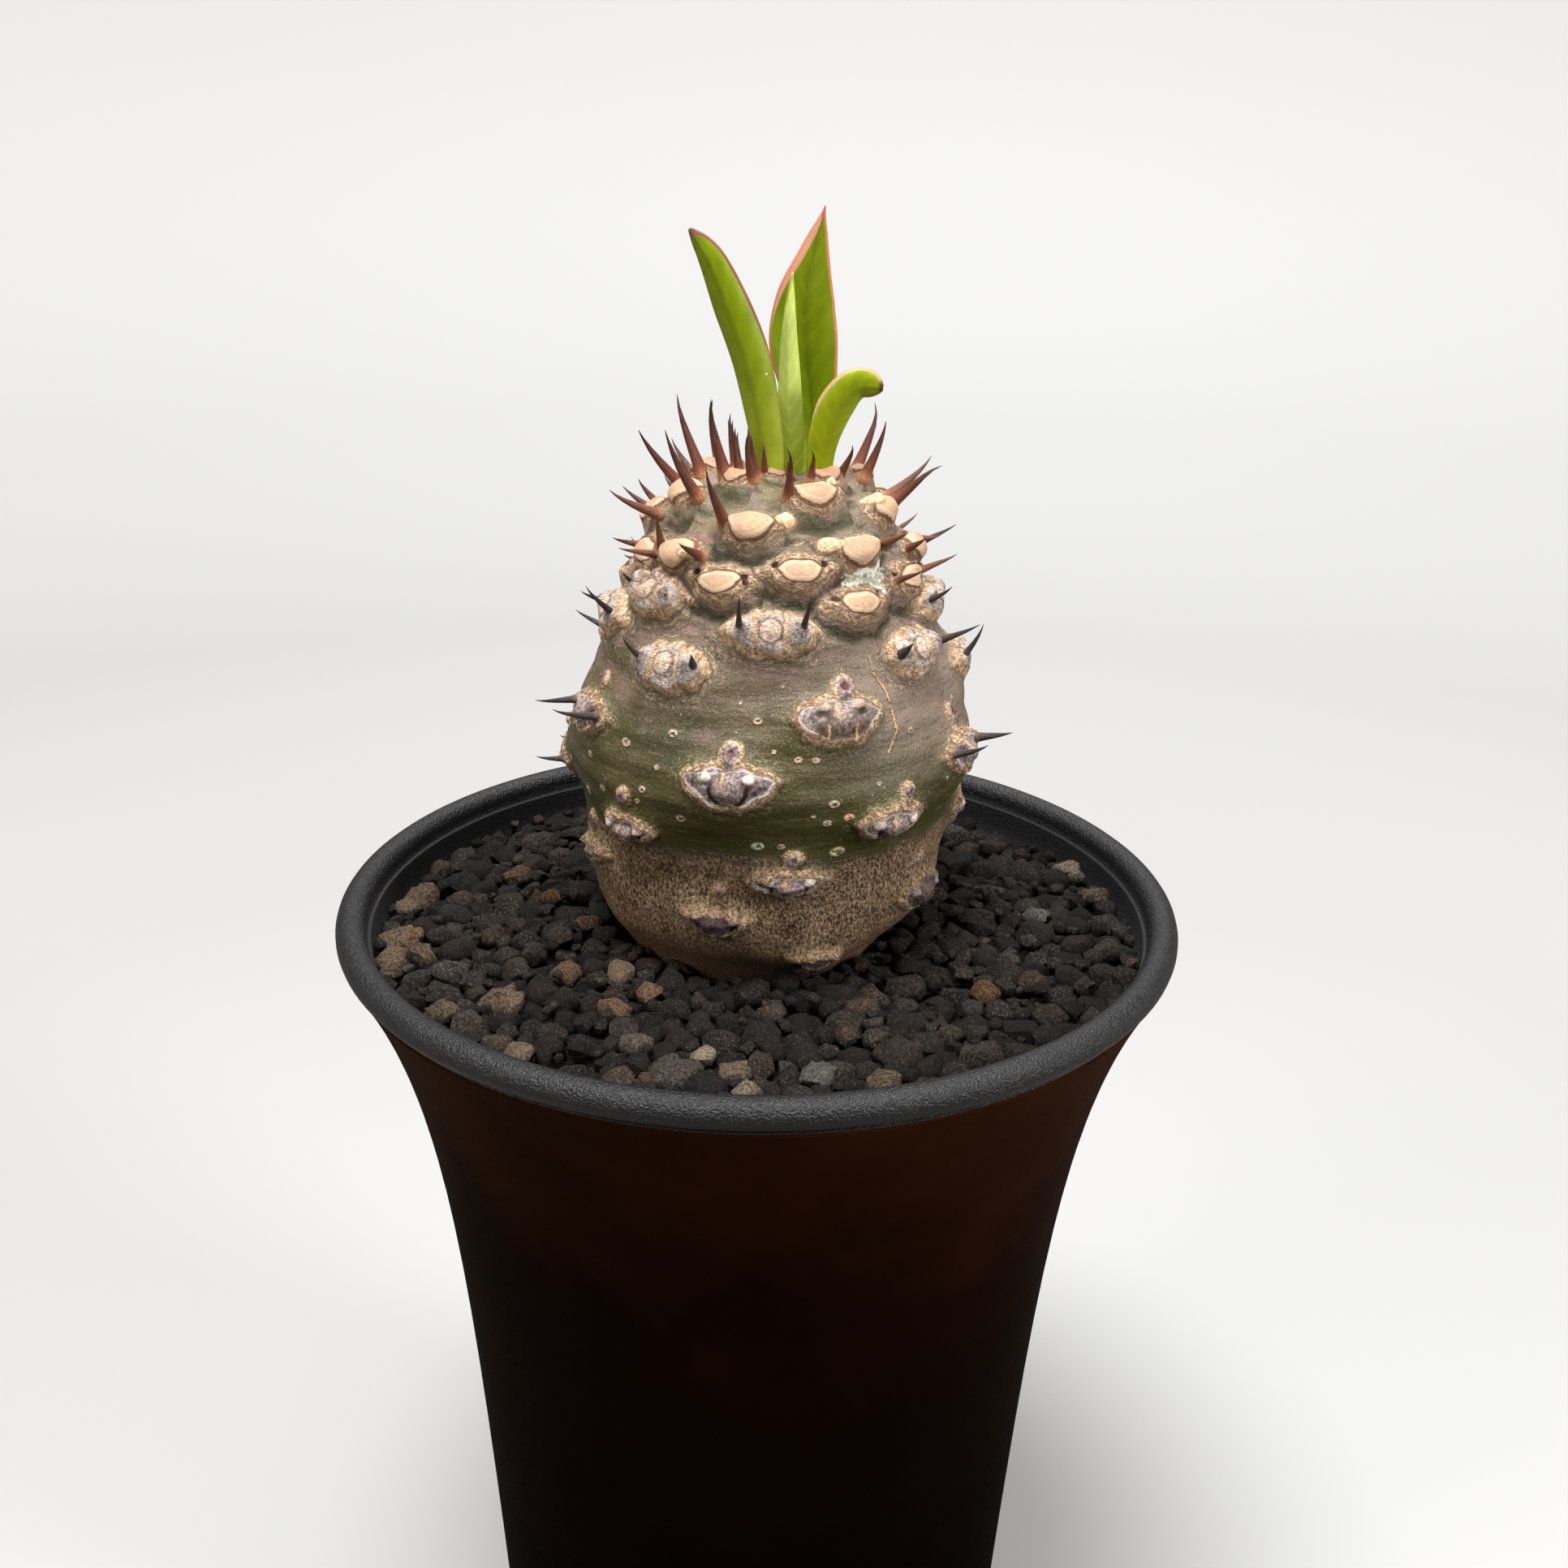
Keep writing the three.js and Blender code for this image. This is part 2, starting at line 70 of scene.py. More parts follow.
def writePoints(piece, points):
    piece.data.vertices.foreach_set("co", np.ascontiguousarray(points, dtype=float).ravel())
    piece.data.update()


def storeVector(piece, name, columns):
    values = np.stack([np.broadcast_to(c, len(piece.data.vertices)) for c in columns], 1)
    layer = piece.data.attributes.new(name, "FLOAT_VECTOR", "POINT")
    layer.data.foreach_set("vector", values.astype(np.float32).ravel())


def applyModifier(piece, kind, **settings):
    makeActive(piece)
    modifier = piece.modifiers.new(kind.title(), kind)
    for key, value in settings.items():
        setattr(modifier, key, value)
    bpy.ops.object.modifier_apply(modifier=modifier.name)


def cleanShell(piece, distance=2e-6):
    makeActive(piece)
    bpy.ops.object.mode_set(mode="EDIT")
    bpy.ops.mesh.select_all(action="SELECT")
    bpy.ops.mesh.remove_doubles(threshold=distance)
    bpy.ops.mesh.normals_make_consistent(inside=False)
    bpy.ops.object.mode_set(mode="OBJECT")


def bakePlace(piece):
    makeActive(piece)
    bpy.ops.object.transform_apply(location=True, rotation=True, scale=True)


def joinPieces(pieces, name):
    deselectAll()
    for piece in pieces:
        piece.select_set(True)
    bpy.context.view_layer.objects.active = pieces[0]
    bpy.ops.object.join()
    return startPiece(name)


def copyPiece(master):  # with a mesh of its own
    copy = master.copy()
    copy.data = master.data.copy()
    bpy.context.collection.objects.link(copy)
    return copy


def finishPiece(piece, material, slot, *nodes):
    piece.data.materials.clear()
    piece.data.materials.append(material)
    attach(piece, "root")
    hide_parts(*nodes)
    print("made", piece.name, len(piece.data.polygons), "faces")


def ease(x, low, high):  # 0 below low, 1 above high, smooth between
    share = np.clip((np.asarray(x, float) - low) / (high - low), 0, 1)
    return share * share * (3 - 2 * share)


def readRow(rows, at, column=1):
    table = np.array([[row[0], row[column]] for row in rows], float)
    return np.interp(at, table[:, 0], table[:, 1])


def scatter(a, b):  # repeatable, between 0 and 1
    value = math.sin(a * 127.1 + b * 311.7) * 43758.5453
    return value - math.floor(value)


# Shader tools: each adds a node to the tree that is being built, and gives back its output

building = []  # the node tree that is being built comes last


class Wire:  # a node's output that works in sums like a number
    def __init__(self, socket):
        self.socket = socket

    def __add__(self, other):
        return calc("ADD", self, other)

    def __radd__(self, other):
        return calc("ADD", other, self)

    def __sub__(self, other):
        return calc("SUBTRACT", self, other)

    def __rsub__(self, other):
        return calc("SUBTRACT", other, self)

    def __mul__(self, other):
        return calc("MULTIPLY", self, other)

    def __rmul__(self, other):
        return calc("MULTIPLY", other, self)

    def __truediv__(self, other):
        return calc("DIVIDE", self, other)

    def __rtruediv__(self, other):
        return calc("DIVIDE", other, self)

    def __abs__(self):
        return calc("ABSOLUTE", self)


def feed(socket, value):
    if isinstance(value, Wire):
        building[-1].links.new(value.socket, socket)
    elif isinstance(value, tuple) and len(value) == 3 and socket.type == "RGBA":
        socket.default_value = (*value, 1)
    else:
        socket.default_value = value


# Terms go to the sockets in order, or by name from a dictionary
def addNode(kind, terms=(), **settings):
    node = building[-1].nodes.new(kind)
    for key, value in settings.items():
        setattr(node, key, value)
    for key, term in terms.items() if isinstance(terms, dict) else enumerate(terms):
        feed(node.inputs[key], term)
    return [Wire(socket) for socket in node.outputs]


def calc(operation, *terms):
    return addNode("ShaderNodeMath", terms, operation=operation)[0]


def band(value, low, high, start=0.0, end=1.0):  # smooth step, also backwards
    terms = {"Value": value, "From Min": low, "From Max": high, "To Min": start, "To Max": end}
    return addNode("ShaderNodeMapRange", terms, interpolation_type="SMOOTHSTEP")[0]


def ridge(value, middle, width):  # 1 at the middle, 0 beyond the width on both sides
    return band(abs(value - middle), width, width * 0.35)


def tint(mask, below, above):
    return addNode("ShaderNodeMix", {0: mask, 6: below, 7: above}, data_type="RGBA", clamp_factor=True)[2]


def ramp(value, stops):
    node = building[-1].nodes.new("ShaderNodeValToRGB")
    marks = node.color_ramp.elements
    while len(marks) < len(stops):
        marks.new(0.5)
    for mark, (place, colour) in zip(marks, stops):
        mark.position = place
        mark.color = (*colour, 1)
    feed(node.inputs[0], value)
    return Wire(node.outputs[0])


def objectMm():  # place on the object in millimetres
    place = building[-1].nodes.new("ShaderNodeTexCoord").outputs["Object"]
    return addNode("ShaderNodeVectorMath", {0: Wire(place), "Scale": 1000}, operation="SCALE")[0]


def parts(vector):
    return addNode("ShaderNodeSeparateXYZ", (vector,))


def stored(name):  # the three numbers of an attribute, and the attribute itself
    vector = addNode("ShaderNodeAttribute", attribute_name=name)[1]
    return (*parts(vector), vector)


def stretch(vector, factors):
    return addNode("ShaderNodeVectorMath", (vector, factors), operation="MULTIPLY")[0]


def noise(vector, scale, detail=3.0, rough=0.55, twist=0.0):
    terms = {"Vector": vector, "Scale": scale, "Detail": detail, "Roughness": rough, "Distortion": twist}
    return addNode("ShaderNodeTexNoise", terms)[0]


def cells(vector, scale, feature="F1"):  # distance, then colour
    return addNode("ShaderNodeTexVoronoi", {"Vector": vector, "Scale": scale}, feature=feature)


def combine(*terms):
    return addNode("ShaderNodeCombineXYZ", terms)[0]


def relief(height, depth):  # depth in metres
    return addNode("ShaderNodeBump", {"Height": height, "Distance": depth})[0]


def effect(name, inputs, outputs, build):
    group = bpy.data.node_groups.new(name, "ShaderNodeTree")
    for label, kind, value in inputs:
        socket = group.interface.new_socket(label, in_out="INPUT", socket_type="NodeSocket" + kind)
        if value is not None:
            socket.default_value = value
    for label, kind in outputs:
        group.interface.new_socket(label, in_out="OUTPUT", socket_type="NodeSocket" + kind)
    building.append(group)
    entry = group.nodes.new("NodeGroupInput")
    leave = group.nodes.new("NodeGroupOutput")
    results = build(*[Wire(entry.outputs[label]) for label, _, _ in inputs])
    for socket, result in zip(leave.inputs, results):
        feed(socket, result)
    building.pop()
    return group


def useEffect(group, **values):
    return addNode("ShaderNodeGroup", values, node_tree=group)


def newMaterial(name):
    material = bpy.data.materials.new(name)
    material.use_nodes = True
    building[:] = [material.node_tree]
    return material, material.node_tree.nodes["Principled BSDF"]


# Fine mottled grain: a tone round 0.5 and a height, used on every finish
def buildGrain(place, size):
    scale = 1.0 / size
    coarse = noise(place, scale, 4.0, 0.6)
    fine = noise(place, scale * 3.7, 2.0, 0.5)
    tone = coarse * 0.65 + fine * 0.35
    return (tone, coarse * 0.4 + fine * 0.6)


# Pale specks of dust, or pores: a mask
def buildSpecks(place, spacing, size, amount):
    found = cells(place, 1.0 / spacing)
    reach = size / spacing
    inside = band(found[0], reach, reach * 0.5)
    chosen = calc("LESS_THAN", addNode("ShaderNodeSeparateColor", (found[1],))[0], amount)
    return (inside * chosen,)


grain = effect("grain", (("Place", "Vector", None), ("Size", "Float", 1.0)),
               (("Tone", "Float"), ("Height", "Float")), buildGrain)
specks = effect("specks", (("Place", "Vector", None), ("Spacing", "Float", 3.0), ("Size", "Float", 0.3),
                           ("Amount", "Float", 0.3)), (("Mask", "Float"),), buildSpecks)


# Camera, floor and lights

studio = {
    "eye": (0.00296, -0.1832, 0.2137),
    "down": 20.98,
    "roll": 1.05,
    "lens": 36.056,
    "dishRadius": 0.95, "dishHeight": 1.5, "dishBend": 0.35, "dishMiddle": 0.2, "dishSides": 96,
    "bendSteps": 8,
    # Paper by distance from the middle in metres: brighter where less light falls on it
    "paper": [(0.3, (0.385, 0.385, 0.387)), (0.6, (0.475, 0.477, 0.48)), (0.82, (0.53, 0.533, 0.538)),
              (0.95, (0.63, 0.634, 0.642))],
    "bounce": (0.17, 0.158, 0.142),
    "world": 0.26, "worldColour": (1, 0.985, 0.955),
    "lights": [  # name, place, aim, size, power, colour
        ("top_softbox", (-0.12, -0.15, 0.95), (0, 0, 0.1), 0.42, 12.5, (1, 1, 1)),
        ("left_softbox", (-0.62, -0.38, 0.52), (0, 0, 0.15), 0.26, 2.7, (1, 0.97, 0.92)),
        ("right_softbox", (0.62, -0.3, 0.45), (0, 0, 0.16), 0.24, 5.2, (1, 0.985, 0.975)),
        ("back_softbox", (0.1, 0.6, 0.75), (0, 0.1, 0.1), 0.6, 3.6, (1, 1, 1)),
        ("wall_wash", (0, -0.25, 1.45), (0, 0.95, 0.3), 0.8, 7.0, (1, 1, 1)),
    ],
}


def addCamera():
    deselectAll()
    bpy.ops.object.camera_add(location=studio["eye"])
    camera = bpy.context.object
    tilt = Matrix.Rotation(math.radians(90 - studio["down"]), 3, "X")
    roll = Matrix.Rotation(math.radians(studio["roll"]), 3, "Z")
    camera.rotation_euler = (tilt @ roll).to_euler()
    camera.data.sensor_width = 36
    camera.data.lens = studio["lens"]
    camera.data.clip_start = 0.005
    bpy.context.scene.camera = camera


def addLight(name, place, aim, size, power, colour):
    deselectAll()
    bpy.ops.object.light_add(type="AREA", location=place)
    light = bpy.context.object
    light.name = name
    light.data.shape = "DISK"
    light.data.size = size
    light.data.energy = power
    light.data.color = colour
    light.rotation_euler = (Vector(aim) - Vector(place)).to_track_quat("-Z", "Y").to_euler()
    light.visible_camera = False


# Pale paper floor that sweeps up into a wall on all sides
def addPaper():
    deselectAll()
    radius, height, bend = studio["dishRadius"], studio["dishHeight"], studio["dishBend"]
    nowRadius, nowHeight = studio["dishMiddle"], 0.0
    bpy.ops.mesh.primitive_circle_add(vertices=studio["dishSides"], radius=nowRadius, fill_type="NGON")
    paper = startPiece("paper_sweep")
    bpy.ops.object.mode_set(mode="EDIT")
    bpy.ops.mesh.select_mode(type="EDGE")
    steps = [(radius - bend, 0)]
    for i in range(1, studio["bendSteps"] + 1):
        angle = math.radians(90 * i / studio["bendSteps"])
        steps.append((radius - bend + bend * math.sin(angle), bend - bend * math.cos(angle)))
    steps.append((radius, height))
    bpy.ops.mesh.select_all(action="SELECT")
    bpy.ops.mesh.region_to_loop()
    for nextRadius, nextHeight in steps:
        bpy.ops.mesh.extrude_edges_move(TRANSFORM_OT_translate={"value": (0, 0, nextHeight - nowHeight)})
        factor = nextRadius / nowRadius
        bpy.ops.transform.resize(value=(factor, factor, 1), center_override=(0, 0, nextHeight))
        nowRadius, nowHeight = nextRadius, nextHeight
    bpy.ops.object.mode_set(mode="OBJECT")
    bpy.ops.object.shade_smooth()
    material, shader = newMaterial("pale_paper")
    place = objectMm()
    x, y, _ = parts(place)
    away = calc("SQRT", x * x + y * y) / 1000.0
    feed(shader.inputs["Base Color"], ramp(away, studio["paper"]))
    shader.inputs["Roughness"].default_value = 0.85
    shader.inputs["Specular IOR Level"].default_value = 0.2
    # The paper throws back less light than it shows
    dim = addNode("ShaderNodeBsdfDiffuse", {"Color": studio["bounce"]})[0]
    fromCamera = addNode("ShaderNodeLightPath")[0]
    seen = addNode("ShaderNodeMixShader", (fromCamera, dim, Wire(shader.outputs[0])))[0]
    feed(material.node_tree.nodes["Material Output"].inputs[0], seen)
    paper.data.materials.append(material)


def addStudio():
    addCamera()
    addPaper()
    for light in studio["lights"]:
        addLight(*light)
    world = bpy.data.worlds.new("soft_room")
    world.use_nodes = True
    back = world.node_tree.nodes["Background"]
    back.inputs[0].default_value = (*studio["worldColour"], 1)
    back.inputs[1].default_value = studio["world"]
    bpy.context.scene.world = world
    bpy.context.scene.view_settings.view_transform = "Standard"
    print("studio ready")


# A ring of points walked along a profile of (radius, height) in millimetres, by extrusion
def walkProfile(name, profile, sides, closeEnds=False):
    deselectAll()
    radius, height = profile[0]
    fill = "NGON" if closeEnds else "NOTHING"
    bpy.ops.mesh.primitive_circle_add(vertices=sides, radius=radius * mm, fill_type=fill,
                                      location=(0, 0, height * mm))
    piece = startPiece(name)
    bakePlace(piece)
    bpy.ops.object.mode_set(mode="EDIT")
    bpy.ops.mesh.select_mode(type="EDGE")
    bpy.ops.mesh.select_all(action="SELECT")
    if closeEnds:
        bpy.ops.mesh.region_to_loop()
    for nextRadius, nextHeight in profile[1:]:
        rise = (nextHeight - height) * mm
        bpy.ops.mesh.extrude_edges_move(TRANSFORM_OT_translate={"value": (0, 0, rise)})
        factor = nextRadius / radius
        bpy.ops.transform.resize(value=(factor, factor, 1), center_override=(0, 0, nextHeight * mm))
        radius, height = nextRadius, nextHeight
    if closeEnds:
        bpy.ops.mesh.edge_face_add()
    bpy.ops.object.mode_set(mode="OBJECT")
    cleanShell(piece)
    return piece


# Pot

pot = {
    "height": 130, "rim": 52.5, "bead": 1.8, "wall": 1.8, "floor": 2.2, "footEdge": 1.5, "drain": 6,
    "radius": 41.77, "taper": 0.0511, "flare": 10.88, "flareDepth": 20.76,
    "sides": 176, "seam": 0.16, "lip": 0.45, "beadSteps": 14, "beadFrom": -76, "beadTurn": 241,
    # Depths under the middle of the bead at which the wall has an edge loop
    "outerLoops": [124, 116, 106, 96, 86, 76, 66, 57, 49, 42, 36, 31, 27, 23, 20, 17, 14.5, 12, 10, 8,
                   6.5, 5, 3.8],
    "innerLoops": [2.2, 3.4, 5, 8, 12, 18, 26, 40, 60, 85, 105],
}
beadHeight = pot["height"] - pot["bead"]
soilTop = beadHeight - 3.5


def potRadius(depth):  # depth below the middle of the bead
    flare = pot["flare"] * math.exp(-depth / pot["flareDepth"])
    return pot["radius"] - pot["taper"] * depth + flare


def plasticMaterial(name, isRim):
    material, shader = newMaterial(name)
    place = objectMm()
    inner = stored("potPart")[0]
    skin = useEffect(grain, Place=place, Size=0.95 if isRim else 0.4)
    _, _, level = parts(place)
    reflectionDrift = noise(place, 0.05, 3.0)
    if isRim:
        colour = tint(skin[0], (0.002, 0.002, 0.0028), (0.006, 0.0063, 0.0085))
        colour = tint(inner, colour, (0.0035, 0.0035, 0.0045))
    else:
        # Painted reflection: the body runs from near black at the foot to a warm brown toward the top, with a
        # cloudy drift
        height = level + (reflectionDrift - 0.5) * 60.0
        colour = ramp(height / 135.0,
                      [(0.3, (0.001, 0.0003, 0.0001)), (0.7, (0.006, 0.0014, 0.0002)),
                       (1.0, (0.026, 0.0075, 0.0016))])
    dust = useEffect(specks, Place=place, Spacing=6.0, Size=0.13, Amount=0.3)[0]
    colour = tint(dust * 0.4, colour, (0.12, 0.1, 0.085))
    feed(shader.inputs["Base Color"], colour)
    low, high = (0.34, 0.52) if isRim else (0.55, 0.7)
    feed(shader.inputs["Roughness"], band(skin[0], 0.3, 0.7, low, high) + inner * 0.3)
    shader.inputs["Specular IOR Level"].default_value = 0.42 if isRim else 0.01
    feed(shader.inputs["Normal"], relief(skin[1], 0.0004 if isRim else 0.00005))
    return material


def makePot():
    foot = potRadius(beadHeight)
    bead, rim, wall = pot["bead"], pot["rim"], pot["wall"]
    profile = [(pot["drain"], 0), (pot["drain"] + 6, 0), (foot - 6, 0), (foot - pot["footEdge"], 0)]
    profile += [(foot - 0.8, 0.15), (foot - 0.3, 0.55), (foot, pot["footEdge"])]
    for depth in pot["outerLoops"]:
        profile.append((potRadius(depth), beadHeight - depth))
    seamRadius, grooveRadius = potRadius(2.6), potRadius(2.6) - pot["seam"]
    profile += [(potRadius(3), beadHeight - 3), (seamRadius, beadHeight - 2.55)]
    profile += [(grooveRadius, beadHeight - 2.3), (grooveRadius + 0.02, beadHeight - 2.05),
                (seamRadius + 0.1, beadHeight - 1.86)]
    for i in range(pot["beadSteps"] + 1):
        angle = math.radians(pot["beadFrom"] + pot["beadTurn"] * i / pot["beadSteps"])
        profile.append((rim - bead + bead * math.cos(angle), beadHeight + bead * math.sin(angle)))
    innerLip = rim - 2 * bead
    profile += [(innerLip + 0.03, beadHeight - 0.1), (innerLip - 0.02, beadHeight - 0.75)]
    profile += [(innerLip - 0.12, beadHeight - 1.0), (innerLip - pot["lip"], beadHeight - 1.15)]
    for depth in pot["innerLoops"]:
        lag = 0.04 if depth < 3 else 0
        profile.append((min(potRadius(depth) - wall, innerLip - pot["lip"] - lag), beadHeight - depth))
    profile += [(foot - wall, pot["floor"] + 0.9), (foot - wall - 0.3, pot["floor"] + 0.25)]
    profile += [(foot - wall - 0.9, pot["floor"]), (foot - 10, pot["floor"])]
    profile += [(pot["drain"] + 0.5, pot["floor"])]
    profile += [(pot["drain"], pot["floor"] - 0.4), (pot["drain"], 0)]
    piece = walkProfile("pot_shell", profile, pot["sides"])
    bpy.ops.object.shade_smooth_by_angle(angle=math.radians(38))
    points = readPoints(piece) / mm
    radial, depth = np.hypot(points[:, 0], points[:, 1]), beadHeight - points[:, 2]
    outer = np.array([potRadius(max(value, 0)) for value in depth])
    storeVector(piece, "potPart", (ease(outer - radial, 0.9, 1.3) * ease(depth, 0.3, 1.0), 0, 0))
    finishPiece(piece, plasticMaterial("black_rim", True), "pot_plastic", "pot")
    piece.data.materials.append(plasticMaterial("black_body", False))
    for face in piece.data.polygons:  # everything outside, under the seam, is the plain body
        middle = face.center / mm
        outside = math.hypot(middle.x, middle.y) > potRadius(max(beadHeight - middle.z, 0)) - 0.9
        face.material_index = 1 if beadHeight - middle.z > 2.2 and outside else 0


# Centripetal spline through points: places and directions at shares of the way, counted by points
def curveThrough(points, shares):
    points = np.array(points, float)
    last = len(points) - 1
    found, tangent = [], []
    for share in shares:
        place = share * last
        i = min(int(place), last - 1)
        w = place - i
        p1, p2 = points[i], points[i + 1]
        p0 = points[i - 1] if i > 0 else 2 * p1 - p2
        p3 = points[i + 2] if i + 2 <= last else 2 * p2 - p1
        d0, d1, d2 = (max(math.sqrt(math.dist(a, b)), 1e-6) for a, b in ((p0, p1), (p1, p2), (p2, p3)))
        t1 = ((p1 - p0) / d0 - (p2 - p0) / (d0 + d1) + (p2 - p1) / d1) * d1
        t2 = ((p2 - p1) / d1 - (p3 - p1) / (d1 + d2) + (p3 - p2) / d2) * d1
        c2, c3 = 3 * (p2 - p1) - 2 * t1 - t2, 2 * (p1 - p2) + t1 + t2
        found.append(p1 + t1 * w + c2 * w ** 2 + c3 * w ** 3)
        tangent.append(t1 + 2 * c2 * w + 3 * c3 * w ** 2)
    tangent = np.array(tangent)
    return np.array(found), tangent / np.linalg.norm(tangent, axis=1)[:, None]


# Stem: outline from root tip to crown, height above the soil against radius

stem = {
    "outline": [
        (-20.5, 0), (-19.6, 3), (-15, 7.2), (-8, 12), (-4, 15.2), (0, 18), (3.5, 20.7), (7.5, 21.9),
        (12.5, 22.2), (17.5, 23.2), (23.5, 25), (29.5, 23.7), (35.5, 21.2), (41.5, 18.5), (46.5, 16.1),
        (50.5, 13.8), (53.5, 11), (55.4, 7.4), (56.2, 3.6), (56.4, 0),
    ],
    "lean": [(-20.5, -0.6, 4.3), (0, -0.6, 4.3), (7, 0.5, 4.3), (24, 1.2, 4.3), (48, 1.4, 4.5),
             (56.4, 2.6, 5.2)],
    "columns": 432, "rows": 222, "rootShare": 0.11, "outlineSteps": 800,
    "corkHeight": 16.2, "sapUnder": 39,
    "backPores": 46, "backSpread": (-20, 200), "backRise": (18, 38), "backSize": (0.3, 0.65),
}
stemFoot = stem["lean"][1][1:]  # middle of the stem where it leaves the soil
spiral = {
    "turn": -137.5, "start": -83, "first": -8, "last": 58, "underLeaves": (54, 57),
    "firstRound": 27, "firstSmall": 49, "firstTiny": 53,
    "climb": [(-8, 3.2), (0, 15.6), (8, 28), (16, 40), (24, 47.6), (34, 52.6), (44, 57.3), (50, 61),
              (58, 64.4)],
    "strays": {
        -8: (-8, 1.5), -5: (12, 2), -3: (-2, -1), -2: (16, 1.5), 2: (-2, -1.5), 3: (4, 0), 5: (-5, -0.5),
        6: (3, -2.5), 8: (3, 0.3), 10: (-8, -3), 11: (3, -0.5), 15: (-13, -2), 18: (0, -1), 19: (12, 0.5),
        23: (-8, -1), 24: (4, 0), 26: (0, -1), 27: (-4, -3), 31: (-3, -2), 32: (10, 0), 34: (-2, -1),
        36: (-20, -1.5), 37: (-1, -1.5), 39: (-9, -1.5), 40: (8, 0), 42: (-5, 0), 44: (-16, 0), 45: (-10, 1),
        47: (-5, 1.2), 48: (5, 1.5), 49: (-8, 1), 50: (-16, 1.8), 52: (-17, 1.5), 53: (-8, 2.5), 55: (-20, 3),
    },
    "swell": (1.1, 1.5), "across": (6.2, 4.4), "tall": (4, 2.6), "below": 0.7,
}
# Scar outlines where they differ from their kind: half width, upper height, lower height, bluntness
scarShapes = {
    -8: (3.6, 1.0, 1.6, 2.4), -5: (4.4, 1.4, 2.3, 2.4), -2: (3.7, 1.4, 2.1, 2.4), 0: (5.3, 1.7, 2.5, 2.3),
    3: (4.6, 2.0, 2.5, 2.7), 5: (5.0, 2.1, 2.9, 2.6), 8: (6.1, 2.2, 3.4, 2.6), 13: (5.7, 2.3, 3.7, 2.9),
    16: (5.2, 2.7, 3.3, 2.6), 18: (5.0, 2.9, 3.1, 2.4), 21: (5.9, 2.5, 2.9, 2.3),
}
# Axillary buds on the front: sideways, above the scar, size, joined to it by a neck
scarBuds = {
    -5: (0.2, 3.6, 0.75, 0), 0: (0.4, 2.8, 1.0, 0), 3: (0, 3.9, 1.0, 0), 5: (1.6, 2.9, 0.95, 0),
    8: (0.0, 3.0, 1.25, 1), 13: (0.9, 3.0, 1.25, 1), -3: (-0.4, 3.8, 0.9, 0), 10: (0.3, 4.3, 1.15, 1),
}
# Papery stubs beside or over young scars: sideways, up, half width, half height
scarStubs = {
    42: (3.3, 0.9, 1.15, 1.0), 47: (2.5, 1.3, 0.9, 0.8), 44: (-1.5, 0.9, 1.2, 0.9),
    39: (-3.1, 0.9, 1.3, 1.1), 37: (1.9, -0.3, 0.9, 0.5),
}


def traceOutline():  # radius, height and length along the outline
    profile = [(radius, height) for height, radius in stem["outline"]]
    steps = stem["outlineSteps"]
    traced = curveThrough(profile, [k / steps for k in range(steps + 1)])[0]
    along = np.concatenate([[0], np.cumsum(np.hypot(*np.diff(traced, axis=0).T))])
    return traced[:, 0], traced[:, 1], along


outlineRadius, outlineHeight, outlineLength = traceOutline()
rising = stem["outlineSteps"] // 2
buriedLength = float(np.interp(0, outlineHeight[:rising], outlineLength[:rising]))
skinReach = float(outlineLength[-1]) - buriedLength


def climbAt(height):
    return np.interp(height, outlineHeight, outlineLength) - buriedLength


# Frame on the bare stem in millimetres: point, outward, sideways, up the skin, radius and height
def skinFrame(azimuth, climb):
    azimuth, climb = np.broadcast_arrays(np.asarray(azimuth, float), np.asarray(climb, float))
    s = np.clip(climb + buriedLength, 0, outlineLength[-1])
    radius = np.interp(s, outlineLength, outlineRadius)
    height = np.interp(s, outlineLength, outlineHeight)
    ahead, behind = np.minimum(s + 0.15, outlineLength[-1]), np.maximum(s - 0.15, 0)
    dr = np.interp(ahead, outlineLength, outlineRadius) - np.interp(behind, outlineLength, outlineRadius)
    dh = np.interp(ahead, outlineLength, outlineHeight) - np.interp(behind, outlineLength, outlineHeight)
    size = np.hypot(dr, dh)
    dr, dh = dr / size, dh / size
    angle = np.radians(azimuth)
    zero = np.zeros_like(angle)
    out = np.stack([np.cos(angle), np.sin(angle), zero], -1)
    side = np.stack([-np.sin(angle), np.cos(angle), zero], -1)
    up = np.array([0.0, 0.0, 1.0])
    normal = out * dh[..., None] - up * dr[..., None]
    rise = out * dr[..., None] + up * dh[..., None]
    leanX, leanY = readRow(stem["lean"], height, 1), readRow(stem["lean"], height, 2)
    lean = np.stack([leanX, leanY, soilTop + height], -1)
    return out * np.maximum(radius, 0)[..., None] + lean, normal, side, rise, np.maximum(radius, 0.01), height


